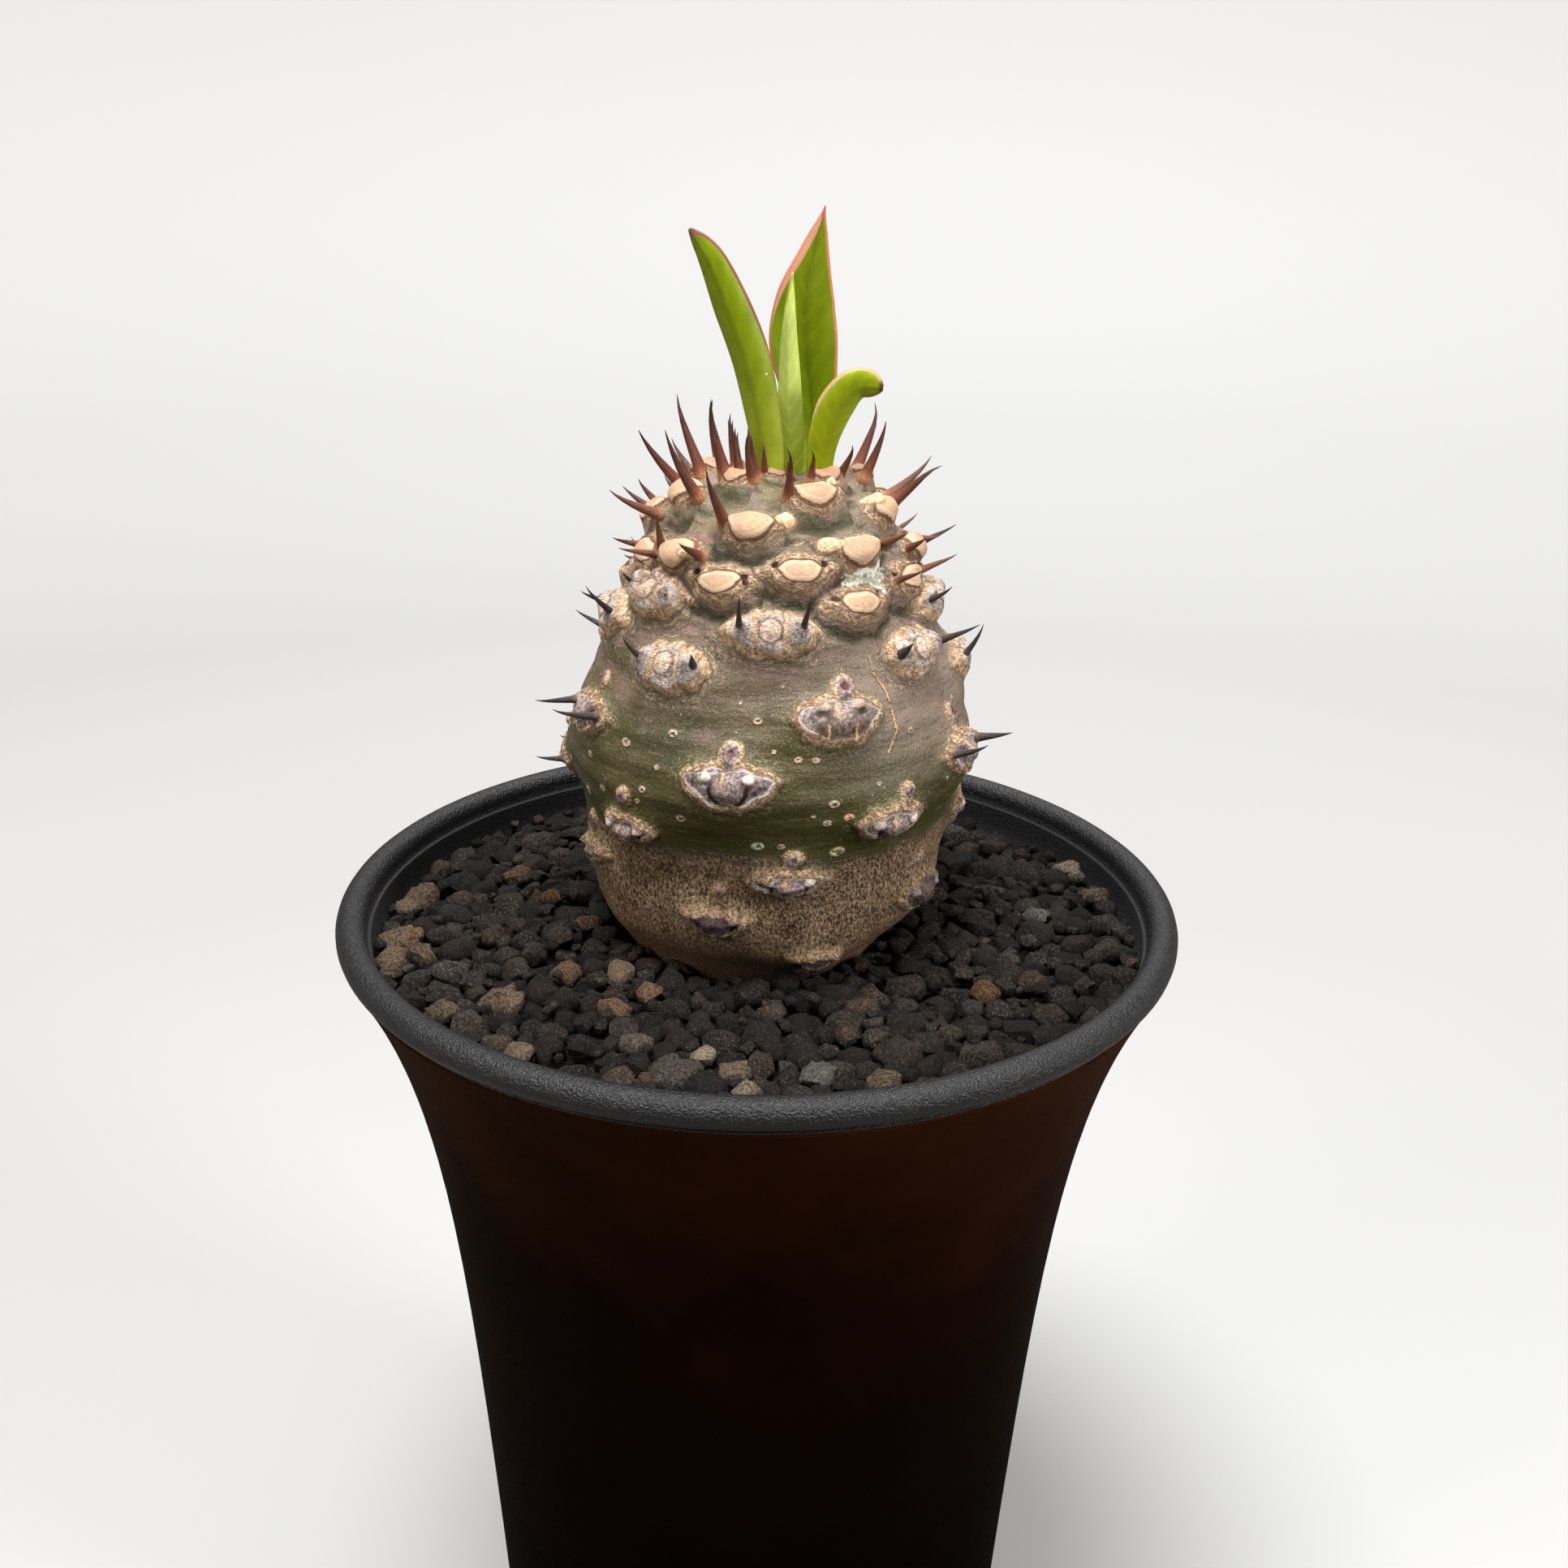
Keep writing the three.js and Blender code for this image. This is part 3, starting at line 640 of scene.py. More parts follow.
def placeTubercle(number):
    turn, lift = spiral["strays"].get(number, (0, 0))
    azimuth = spiral["start"] + number * spiral["turn"] + turn
    climb = float(readRow(spiral["climb"], number)) + lift
    crown = float(ease(number, 14, 34))

    def towardsCrown(name):
        waist, top = spiral[name]
        return waist + crown * (top - waist)

    small = number >= spiral["firstSmall"]
    tiny = number >= spiral["firstTiny"]
    cream = float(ease(number, 23.5, 26.5))
    scale = 0.5 if tiny else 0.72 if small else 1
    if number in scarShapes:
        shape = scarShapes[number]
    elif number < 14:
        wide = 1 + 0.1 * (scatter(number, 61) - 0.5)
        shape = (5.2 * wide, 2.2, 3.1 * wide, 2.0)
    elif number < 25:
        shape = (5.3, 2.6, 3.0, 2.4)
    elif number < 36:
        shape = (4.7, 2.1, 2.5, 1.9)
    else:
        shape = (3.5, 1.75, 2.5, 2.5)
    return {
        "number": number, "azimuth": azimuth, "climb": climb, "scale": scale, "shape": shape,
        "radius": float(skinFrame(azimuth, climb)[4]),
        "swell": towardsCrown("swell") * (0.4 if tiny else 1),
        "across": towardsCrown("across") * (0.75 if small else 1),
        "tall": towardsCrown("tall"),
        "seat": (3.5 if number < spiral["firstRound"] else 3.1) * scale,
        "grey": 1 - float(ease(number, 12.5, 15.5)), "cream": cream,
        "ripe": float(ease(number, 34.5, 36.5)),
    }


tubercles = [placeTubercle(n) for n in range(spiral["first"], spiral["last"] + 1)
             if n not in spiral["underLeaves"]]


def turnFrom(azimuth, middle):
    return (np.asarray(azimuth) - middle + 180) % 360 - 180


def swelling(azimuth, climb):
    total = 0
    for t in tubercles:
        dx = np.radians(turnFrom(azimuth, t["azimuth"])) * t["radius"] / t["across"]
        dy = (climb - t["climb"] + spiral["below"]) / t["tall"]
        total = total + (t["swell"] * np.exp(-dx * dx - dy * dy)) ** 3
    return np.cbrt(total)


# About how far, in millimetres, a place is outside an eye-shaped or rounded outline
def outside(u, v, shape):
    halfWidth, above, below, blunt = shape[:4]
    bluntTop = shape[4] if len(shape) > 4 else blunt
    half = np.where(v > 0, above, below)
    power = np.where(v > 0, bluntTop, blunt)
    x = np.clip(np.abs(u) / halfWidth, 0.0001, 0.9999)
    edge = half * (1 - x ** power)
    slope = half * power * x ** (power - 1) / halfWidth
    near = (np.abs(v) - edge) / np.sqrt(1 + slope ** 2)
    beyond = np.hypot(np.maximum(np.abs(u) - halfWidth, 0), v)
    return np.where(np.abs(u) < halfWidth, near, np.maximum(beyond, 0))


def dome(u, v, x, y, size):
    return np.exp(-((u - x) ** 2 + (v - y) ** 2) / (size * size))


# Height of a scar's relief in millimetres, and the numbers that its colours are drawn from
def shapeScar(t, u, v):
    n = t["number"]
    wobble = 0.14 * np.sin(u * 2.1 + n) + 0.12 * np.sin(v * 3.3 + u * 1.3 + 2 * n)
    wobble = wobble + 0.06 * np.sin(u * 6.1 + v * 5 + n)
    d = outside(u, v, t["shape"]) + wobble
    grey, cream, ripe = t["grey"], t["cream"], t["ripe"]
    gold = (1 - grey) * (1 - cream)
    mound = 1 - ease(d, -1.0, 0.45)
    height = (0.75 + 0.35 * gold) * mound
    # Old eyes: raised ring, sunk inside, a lobe over a crescent, two knobs
    height += grey * (0.16 * np.exp(-((d + 0.5) / 0.4) ** 2) - 0.16 * np.exp(-((d + 1.15) / 0.25) ** 2))
    height += grey * 0.3 * (1 - ease(d, -2.2, -1.2))
    lobe = np.hypot((u - 0.1) / 1.05, v + 0.8) - (1.55 if n < 9 else 1.25)
    crescent = np.exp(-((lobe - 0.28) / 0.2) ** 2) * ease(-v, 0.1, 0.9)
    height += grey * (0.42 * (1 - ease(lobe, -0.75, 0.1)) - 0.34 * crescent)
    if n < 9:
        height += 0.7 * (dome(u, v, -2.2, 0.4, 0.62) + dome(u, v, 2.2, 0.3, 0.62))
        height -= 0.35 * (dome(u, v, -2.3, -0.35, 0.4) + dome(u, v, 2.1, -0.45, 0.4))
    else:
        height -= grey * 0.6 * (dome(u, v, -2.4, -0.1, 0.5) + dome(u, v, 2.3, -0.05, 0.55))
        height += grey * 0.75 * (dome(u, v, -1.8, 0.75, 0.6) + dome(u, v, 2.2, 0.85, 0.65))
    # Corky mounds: two round pads beside a ridge
    for side in (-1, 1):
        pad = side * t["seat"]
        height += gold * 0.95 * dome(u, v, pad * 0.8, 0.1, 1.35)
        height += cream * (1 - ripe) * 0.4 * dome(u, v, pad * 0.95, 0.7, 1.1)
        height -= cream * (1 - ripe) * 0.85 * dome(u, v, pad * 0.86, 0.6, 0.4)
        height += ripe * 0.5 * dome(u, v, pad, 0.4, 1.2)
    height += gold * (0.6 * dome(u, v, 0, 0, 1.15) - 0.35 * np.exp(-((np.abs(u) - 1.4) / 0.28) ** 2) * mound)
    # Young scars: a swollen cushion, a crease under it and a flat cream face
    height += cream * (0.30 + 0.45 * ripe) * np.exp(-(u / 4.2) ** 2 - ((v + 0.5) / 2.4) ** 2)
    height -= cream * 0.5 * np.exp(-((d - 1.55) / 0.55) ** 2) * ease(-v, 0.2, 1.4)
    faceShape = (2.35, 1.3, 2.0, 2.3, 4.0) if ripe > 0.5 else (2.35, 0.95, 1.5, 2.4, 3.2)
    lean = 0.5 * (scatter(n, 66) - 0.5)
    turned = u * math.cos(lean) + v * math.sin(lean), v * math.cos(lean) - u * math.sin(lean)
    jag = 0.05 * np.sin(turned[0] * 3.1 + 3 * n) + 0.04 * np.sin(turned[1] * 4 + n)
    face = outside(turned[0], turned[1] - 0.05, faceShape) + jag
    flatTop = (0.26 * ripe - 0.06) * (1 - ease(face, -0.2, 0.14))
    height += cream * (flatTop - 0.2 * np.exp(-((face - 0.32) / 0.2) ** 2))
    second = np.full_like(u, 9.0)
    if n in scarStubs:
        x, y, wide, tall = scarStubs[n]
        second = (np.hypot((u - x) / wide, (v - y) / tall) - 1) * min(wide, tall)
        height += 0.7 * (1 - ease(second, -0.5, 0.15)) + 0.35 * dome(u, v, x, y + 0.15, 0.35)
    if n in scarBuds or (n < 14 and scatter(n, 71) > 0.35):
        x, y, size, neck = scarBuds.get(n, (scatter(n, 72) - 0.5, 3.9, 0.9, 0))
        second = np.hypot(u - x, v - y) - size + 0.5 * wobble
        height += 0.75 * (1 - ease(second, -0.55, 0.4)) - 0.4 * (1 - ease(second, -1.0, -0.5))
        if neck:
            strip = np.maximum(np.abs(u - x * 0.5) - 0.75, np.abs(v - y + 1.3) - 1.0)
            second = np.minimum(second, strip)
            height += 0.4 * (1 - ease(strip, -0.5, 0.35)) * ease(d, -1.2, -0.6)
    return height, d, lobe, face, second


# Small corky pores: azimuth, height above the soil, radius; then the two odd crusts and the orange one
pores = [
    (-127.4, 34.3, 0.45), (-117.7, 30.8, 0.6), (-93.5, 33.0, 0.55), (-80.3, 31.1, 0.6), (-82.2, 29.0, 0.5),
    (-77.4, 28.9, 0.5), (-88.7, 29.9, 0.35), (-71.8, 29.8, 0.5), (-125.0, 24.0, 0.55), (-120.7, 26.9, 0.45),
    (-113.1, 21.5, 0.6), (-72.7, 23.9, 0.65), (-74.0, 21.6, 0.55), (-77.9, 22.4, 0.35), (-140.9, 22.3, 0.6),
    (-152.3, 20.3, 0.8), (-126.7, 22.4, 0.45), (-47.1, 30.5, 0.55), (-86.6, 36.5, 0.35), (-35.4, 23.9, 0.4),
    (-85.7, 18.6, 0.5), (-132.7, 28.6, 0.7), (-103, 27, 0.35), (-60, 25.6, 0.35), (-148, 25.5, 0.6),
    (-109, 36.5, 0.3), (-99, 34.8, 0.3), (-66, 33.8, 0.6), (-43, 35.2, 0.4), (-92.2, 18.6, 0.75),
    (-69.5, 17.4, 0.95),
    (-68.4, 22.2, 0.65),
]
crustPores = {29: 1.0, 30: 2.0, 31: 3.0}
crack = [(28.6, -56.2), (30.7, -52.6), (33.2, -52.2), (35.2, -53.0), (37.4, -56.8)]  # height, azimuth


def makeStem():
    deselectAll()
    bpy.ops.mesh.primitive_grid_add(x_subdivisions=stem["columns"], y_subdivisions=stem["rows"], size=2)
    piece = startPiece("stem_skin")
    sheet = readPoints(piece)  # rolled into a tube, whose ends close on the crown and the root tip
    columns = stem["columns"]
    azimuth = np.round((sheet[:, 0] + 1) * 0.5 * columns) % columns * 360 / columns - 180
    polar = (1 - sheet[:, 1]) / 2
    root = stem["rootShare"]
    climb = np.where(polar < 1 - root, skinReach * (1 - polar / (1 - root)),
                     -buriedLength * (polar - 1 + root) / root)
    place, normal, _, _, radius, height = skinFrame(azimuth, climb)
    lift = swelling(azimuth, climb)
    count = len(azimuth)
    best = np.full(count, 99.0)
    scarMap, scarParts, scarMix, scarFacts = (np.full((count, 3), value) for value in (30.0, 9.0, 0.0, 0.0))
    bumps, dents, creaseShade, wrinkles = np.zeros((4, count))
    sap = np.full(count, 9.0)
    for t in tubercles:
        u = np.radians(turnFrom(azimuth, t["azimuth"])) * t["radius"] / t["scale"]
        v = (climb - t["climb"]) / t["scale"]
        near = np.nonzero((np.abs(u) < 9.5) & (np.abs(v) < 7.5))[0]
        un, vn = u[near], v[near]
        height1, d, lobe, face, bud = shapeScar(t, un, vn)
        bumps[near] = np.maximum(bumps[near], height1 * t["scale"])
        dents[near] = np.minimum(dents[near], height1 * t["scale"])
        rank = np.minimum(d, bud + 0.2) * t["scale"]
        # Mask for painted shade in the crease under each young scar, which the finish darkens
        hollow = t["cream"] * np.exp(-((d - 1.4) / 0.9) ** 2) * ease(-vn, -0.2, 1.6)
        creaseShade[near] = np.maximum(creaseShade[near], hollow)
        folds = ease(t["number"], 13, 17) * (1 - 0.85 * t["ripe"]) * (1 - ease(d, 0.3, 2.7))
        wrinkles[near] = np.maximum(wrinkles[near], folds)
        if t["number"] == stem["sapUnder"]:
            sap[near] = np.hypot((un - 0.9) / 2.9, (vn + 3.9) / 3.0)
        keep = rank < best[near]
        win = near[keep]
        best[win] = rank[keep]
        scarMap[win] = np.stack([d, un, vn], 1)[keep]
        scarParts[win] = np.stack([lobe, face, bud], 1)[keep]
        scarMix[win] = (t["grey"], t["cream"], t["ripe"])
        scarFacts[win] = (t["number"] / spiral["last"], scatter(t["number"], 88), 0)
    creaseShade *= ease(best, -0.2, 0.6)
    bumps += dents
    bumps += 0.3 * (1 - ease(sap, 0.5, 1.15)) * ease(best, -0.4, 0.4)
    spotD, spotKind = np.full(count, 9.0), np.zeros(count)
    rng = random.Random(5)
    spots = [(*spot, crustPores.get(index, 0.0)) for index, spot in enumerate(pores)]
    for _ in range(stem["backPores"]):
        spots.append((rng.uniform(*stem["backSpread"]), rng.uniform(*stem["backRise"]),
                      rng.uniform(*stem["backSize"]), 0.0))
    for turn, up, size, kind in spots:
        away = np.hypot(np.radians(turnFrom(azimuth, turn)) * radius, (climb - climbAt(up)) * 1.35) / size
        nearer = away < spotD
        spotD[nearer] = away[nearer]
        spotKind[nearer] = kind
        bumps += 0.16 * size * (1 - ease(away, 0.5, 1.3))
    spotD = np.where(best < 0.7, 9, spotD)
    crackTurn = readRow(crack, height)
    crackU = np.radians(turnFrom(azimuth, crackTurn)) * radius
    crackEnds = np.minimum(height - crack[0][0], crack[-1][0] - height)
    crackU = np.where(crackEnds > 0, crackU, 9)
    wave = np.radians(azimuth)
    corkEdge = stem["corkHeight"] + 0.5 * np.sin(3 * wave + 1) + 0.35 * np.sin(7 * wave)
    scarFacts[:, 2] = height - (corkEdge + 0.25 * np.sin(17 * wave + 2))
    rows = 0.10 * np.sin(height * 1.9 + 1.2 * np.sin(2 * wave)) * ease(height, 17, 24) * ease(best, 0.5, 3)
    taper = ease(radius, 1.5, 4.5)
    lumps = 0.12 * np.sin(5 * wave + height * 0.21) + 0.1 * np.sin(9 * wave - height * 0.33)
    lumps *= ease(height, -6, 2)
    bumps = np.where(height < -3, 0, bumps)
    points = place + normal * (lift * ease(height, -9, -1) + (bumps + rows + lumps) * taper)[:, None]
    writePoints(piece, points * mm)
    for name, values in (("scarMap", scarMap), ("scarMix", scarMix), ("scarParts", scarParts),
                         ("scarFacts", scarFacts)):
        storeVector(piece, name, values.T)
    storeVector(piece, "creaseMap", (creaseShade, wrinkles, sap))
    storeVector(piece, "skinMap", (place[:, 0], place[:, 1], climb))
    storeVector(piece, "spotMap", (spotD, spotKind, crackU))
    cleanShell(piece, 1e-7)
    bpy.ops.object.shade_smooth()
    finishPiece(piece, skinMaterial(), "stem_skin", "stem")


def skinMaterial():
    material, shader = newMaterial("stem_skin")
    place = objectMm()
    d, u, v, _ = stored("scarMap")
    grey, cream, ripe, _ = stored("scarMix")
    lobe, face, second, _ = stored("scarParts")
    age, chance, aboveCork, _ = stored("scarFacts")
    _, _, climb, skinPlace = stored("skinMap")
    spot, spotKind, crackU, _ = stored("spotMap")
    notCream = 1.0 - cream
    gold = (1.0 - grey) * notCream

    blotch = noise(place, 0.12, 2.0)
    patch = noise(place, 0.36, 3.0, 0.6)
    fuzz = noise(place, 2.3, 3.0, 0.62)
    streak = noise(stretch(skinPlace, (0.34, 0.34, 2.1)), 1.0, 5.0, 0.66)
    fibre = noise(combine(d * 3.4, u * 1.9, v * 1.9), 1.0, 4.0, 0.72)
    stripe = noise(combine(u * 2.4, v * 0.5, chance * 40.0), 1.0, 3.0, 0.62, 0.4)
    stipple = noise(stretch(skinPlace, (3.2, 3.2, 2.1)), 1.0, 3.0, 0.75)

    # Green belt above the cork, olive and tan at the waist, mauve above, olive green at the crown
    drift = climb + (blotch - 0.5) * 24.0
    colour = ramp(drift / 70.0,
                  [(0.24, (0.048, 0.047, 0.008)), (0.33, (0.05, 0.046, 0.008)), (0.39, (0.06, 0.05, 0.013)),
                   (0.46, (0.083, 0.065, 0.029)), (0.56, (0.122, 0.088, 0.053)),
                   (0.66, (0.165, 0.112, 0.084)), (0.76, (0.22, 0.17, 0.11)), (0.9, (0.175, 0.145, 0.075))])
    swathe = noise(stretch(skinPlace, (0.09, 0.09, 0.3)), 1.0, 4.0, 0.6)
    olive = band(swathe, 0.46, 0.62) * band(climb, 20, 30) * 0.8
    colour = tint(olive, colour, (0.045, 0.041, 0.01))
    mauve = band(patch, 0.46, 0.34) * band(climb, 28, 36) * 0.55
    colour = tint(mauve, colour, (0.16, 0.088, 0.082))
    # Painted light: the right flank is tinted paler mauve where the side light falls
    sideways, _, _ = parts(place)
    litFlank = sideways + (swathe - 0.5) * 30.0
    litFlank = band(litFlank, 7, 20) * band(climb, 24, 38) * 0.6
    colour = tint(litFlank, colour, (0.31, 0.225, 0.19))
    colour = tint(band(streak, 0.51, 0.74, 0.0, 0.45), colour, (0.24, 0.175, 0.12))
    colour = tint(band(streak, 0.49, 0.28, 0.0, 0.75), colour, (0.026, 0.023, 0.008))
    pepper = noise(place, 4.5, 3.0, 0.7)
    colour = tint(band(pepper, 0.54, 0.36, 0.0, 0.4), colour, (0.018, 0.015, 0.008))
    colour = tint(band(pepper, 0.54, 0.7) * band(climb, 22, 34, 0.1, 0.3), colour, (0.45, 0.35, 0.27))
    blush = noise(stretch(skinPlace, (0.28, 0.28, 0.7)), 1.0, 4.0)
    pink = band(blush, 0.54, 0.68) * band(climb, 38, 46) * 0.6
    colour = tint(pink, colour, (0.3, 0.13, 0.155))
    pale = useEffect(specks, Place=place, Spacing=1.3, Size=0.17, Amount=0.3)[0]
    colour = tint(pale * 0.55, colour, (0.42, 0.34, 0.27))
    flecks = useEffect(specks, Place=stretch(skinPlace, (0.5, 0.5, 1.7)), Spacing=2.8, Size=0.3,
                       Amount=0.25)[0]
    colour = tint(flecks * band(climb, 24, 34) * band(fuzz, 0.4, 0.55) * 0.7, colour, (0.55, 0.42, 0.36))

    # Cork at the foot, finely stippled up and down
    corkTone = stipple * 0.85 + patch * 0.2
    cork = ramp(corkTone,
                [(0.38, (0.014, 0.008, 0.005)), (0.47, (0.09, 0.052, 0.026)), (0.56, (0.28, 0.18, 0.1)),
                 (0.68, (0.56, 0.41, 0.27))])
    low = band(climb, 9, 1) * band(stipple, 0.3, 0.6, 0.2, 0.7)
    cork = tint(low, cork, (0.17, 0.085, 0.035))
    corkMask = band(aboveCork + (streak - 0.5) * 6.0, 0.9, -0.7)
    colour = tint(corkMask, colour, cork)

    # Corky wrinkles round the scars of the upper half, and painted shade, dark green, in the crease under the
    # young ones
    grainy = band(fibre, 0.4, 0.6)
    wrinkle = noise(combine(d * 2.8, u * 0.55, v * 0.55), 1.0, 4.0, 0.7)
    wrinkle = band(wrinkle, 0.42, 0.6)
    crease, folds, sap, _ = stored("creaseMap")
    upperHalf = band(folds + (patch - 0.5) * 0.8, 0.1, 0.8)
    corky = tint(wrinkle, (0.12, 0.082, 0.055), (0.42, 0.305, 0.21))
    colour = tint(upperHalf * band(fuzz, 0.38, 0.62, 0.1, 0.75), colour, corky)
    # Painted shade: dark green in the crease under each young scar
    under = band(crease + (patch - 0.5) * 0.5, 0.35, 1.0)
    colour = tint(under * 0.8, colour, (0.034, 0.032, 0.01))
    sapMask = band(sap + (fuzz - 0.5) * 0.9, 1.02, 0.9) * band(face, -0.5, 0.0)
    net = cells(place, 1.1, "DISTANCE_TO_EDGE")[0]
    drip = tint(band(net, 0.05, 0.3), (0.92, 0.93, 0.82), (0.5, 0.54, 0.36))
    colour = tint(sapMask * 0.85, colour, drip)

    # Fibrous tan ring with a broken green and pale fringe on every eye
    fringe = ridge(d, 0.45, 0.9) * band(fibre, 0.5, 0.62) * notCream
    colour = tint(fringe * 0.65, colour, tint(fuzz, (0.1, 0.13, 0.03), (0.3, 0.26, 0.15)))
    ringColour = tint(grainy, (0.14, 0.075, 0.04), (0.52, 0.345, 0.2))
    ringColour = tint(band(fuzz, 0.52, 0.7, 0.0, 0.7), ringColour, (0.72, 0.58, 0.43))
    ragged = (fuzz - 0.5) * 1.1
    insideEye = band(d + ragged, 0.18, -0.18)
    colour = tint(insideEye, colour, ringColour)

    # Old eyes: grey-lilac inside, a paler lobe with a dark crescent under it, and a tan crack
    lilac = ramp(fuzz * 0.7 + patch * 0.3,
                 [(0.36, (0.04, 0.025, 0.026)), (0.46, (0.115, 0.08, 0.078)), (0.56, (0.25, 0.2, 0.188)),
                  (0.68, (0.52, 0.44, 0.4))])
    middle = band(d + ragged * 0.5, -0.75, -1.05) * grey
    eye = tint(band(d, -1.4, -2.4, 0.0, 0.45), lilac, (0.075, 0.05, 0.056))
    whiteLine = ridge(d, -0.98, 0.2) * band(patch, 0.3, 0.5, 0.3, 1.0)
    eye = tint(whiteLine * 0.75, eye, (0.55, 0.49, 0.45))
    lobeTone = tint(band(fuzz, 0.38, 0.62), (0.095, 0.062, 0.06), (0.3, 0.225, 0.21))
    eye = tint(band(lobe, 0.1, -0.2), eye, lobeTone)
    crescent = ridge(lobe, 0.3, 0.32) * band(v, -0.2, -1.0) * band(age, 0.2, 0.16)
    crescent = calc("MAXIMUM", crescent, ridge(lobe, 0.85, 0.85) * band(v, -0.6, -1.3) * band(age, 0.16, 0.2))
    eye = tint(crescent, eye, (0.026, 0.008, 0.007))
    deepPart = band(lobe, 0.0, 0.35) * band(v, -0.9, -1.5) * band(age, 0.16, 0.2) * band(abs(u), 3.2, 2.4)
    eye = tint(deepPart * 0.85, eye, (0.045, 0.016, 0.011))
    seam = abs(u + ragged * 0.5) - 1.5
    eye = tint(ridge(seam, 0.0, 0.22) * deepPart, eye, (0.42, 0.25, 0.13))
    knobAway = outsideRound(abs(u) - 2.25, v - 0.3, 0.6, 0.5)
    knob = band(knobAway, 0.12, -0.2) * band(age, 0.16, 0.14)
    eye = tint(knob, eye, tint(fuzz, (0.4, 0.26, 0.2), (0.95, 0.86, 0.78)))
    brow = outsideRound(abs(u) - 2.05, v - 0.75, 0.85, 0.5)
    brows = band(brow, 0.15, -0.25) * band(age, 0.16, 0.2)
    eye = tint(brows, eye, tint(fuzz, (0.16, 0.095, 0.065), (0.55, 0.42, 0.34)))
    # Painted shadow: near-black pits under the brows, beside the knobs
    browShadow = outsideRound(abs(u) - 2.35, v, 0.6, 0.35)
    eye = tint(band(browShadow, 0.15, -0.15) * band(age, 0.16, 0.2), eye, (0.02, 0.009, 0.009))
    crackLine = u + 0.5 + ragged * 0.9
    eye = tint(ridge(crackLine, 0.0, 0.2) * band(v, -1.2, 0.2), eye, (0.45, 0.27, 0.12))
    colour = tint(middle, colour, eye)
    ageDark = middle * band(age, 0.0, -0.09)
    colour = tint(ageDark * 0.85, colour, (0.035, 0.014, 0.015))

    # Corky mounds: a golden ring and two golden stripes, grey pads under the spines, a cream oval between
    golden = ramp(fibre * 0.6 + stripe * 0.4,
                  [(0.38, (0.17, 0.085, 0.045)), (0.46, (0.5, 0.3, 0.165)), (0.54, (0.72, 0.51, 0.33)),
                   (0.64, (0.88, 0.74, 0.57))])
    mound = insideEye * gold
    aside = abs(u) + ragged * 0.7
    padTone = ramp(fuzz * 0.75 + patch * 0.25,
                   [(0.36, (0.12, 0.085, 0.078)), (0.45, (0.36, 0.28, 0.245)), (0.53, (0.56, 0.46, 0.4)),
                    (0.65, (0.78, 0.69, 0.6))])
    spineSeat = outsideRound(abs(u) - 2.8, v, 0.8, 0.8)
    padTone = tint(band(spineSeat, 0.2, -0.5) * 0.6, padTone, (0.07, 0.045, 0.045))
    padTone = tint(ridge(spineSeat, 0.35, 0.3) * 0.5, padTone, (0.6, 0.53, 0.48))
    stripes = ridge(aside, 1.5, 0.42)
    padMask = band(d + ragged * 0.8, -0.5, -0.85) * (1.0 - stripes) * band(aside, 4.3, 3.9)
    golden = tint(padMask, golden, padTone)
    oval = outsideRound(u, v, 1.05, 1.25)
    golden = tint(band(oval, 0.15, -0.15), golden,
                  tint(band(fuzz, 0.36, 0.6), (0.5, 0.32, 0.24), (0.84, 0.66, 0.53)))
    golden = tint(ridge(oval, 0.12, 0.2) * 0.6, golden, (0.16, 0.085, 0.05))
    colour = tint(mound, colour, golden)

    # Young scars: cream face, thin brown outline, dark sockets at the upper corners
    youngRing = tint(grainy, (0.22, 0.125, 0.07), (0.64, 0.45, 0.29))
    colour = tint(insideEye * cream * band(ripe, 1.0, 0.0, 0.35, 1.0), colour, youngRing)
    faceTone = tint(band(patch, 0.42, 0.58), (0.44, 0.315, 0.195), (0.4, 0.265, 0.18))
    faceTone = tint(band(fuzz, 0.52, 0.36, 0.0, 0.6), faceTone, (0.36, 0.19, 0.105))
    faceTone = tint(band(pepper, 0.56, 0.4, 0.0, 0.6), faceTone, (0.34, 0.18, 0.1))
    pitting = useEffect(specks, Place=place, Spacing=0.6, Size=0.15, Amount=0.4)[0]
    faceTone = tint(pitting * 0.5, faceTone, (0.34, 0.17, 0.1))
    # Painted highlight: a paler band just inside the rim of the face
    faceTone = tint(ridge(face, -0.3, 0.3) * 0.5, faceTone, (0.56, 0.42, 0.28))
    faceTone = tint(band(age, 0.8, 0.92, 0.0, 0.65), faceTone, (0.25, 0.11, 0.06))
    onFace = band(face, 0.07, -0.07) * cream
    colour = tint(onFace, colour, faceTone)
    inner = ridge(face, -0.62, 0.13) * onFace * band(v, 0.4, -0.4)
    colour = tint(inner * 0.3, colour, (0.36, 0.18, 0.1))
    outline = ridge(face, 0.12, 0.17) * cream
    colour = tint(outline * 0.9, colour, (0.16, 0.07, 0.036))
    socketAway = outsideRound(abs(u) - 2.65, v - 0.6, 0.42, 0.42)
    sockets = band(socketAway, 0.15, -0.15) * cream * band(ripe, 1.0, 0.0) * band(d, 0.8, 0.4)
    colour = tint(sockets, colour, (0.035, 0.011, 0.011))
    stub = band(second, 0.08, -0.08) * cream
    colour = tint(stub, colour, tint(band(fuzz, 0.35, 0.6), (0.52, 0.34, 0.17), (0.8, 0.63, 0.38)))
    colour = tint(ridge(second, 0.1, 0.2) * cream * 0.7, colour, (0.3, 0.15, 0.07))

    # Axillary buds: tan ring, grey-lilac inside, dark red at the centre
    bud = tint(band(second, -0.1, -0.4), ringColour, lilac)
    bud = tint(band(second, -0.55, -0.85), bud, (0.09, 0.022, 0.02))
    budMask = band(second + ragged * 0.5, 0.35, 0.05) * band(d, -1.0, -0.5) * notCream
    colour = tint(budMask, colour, bud)

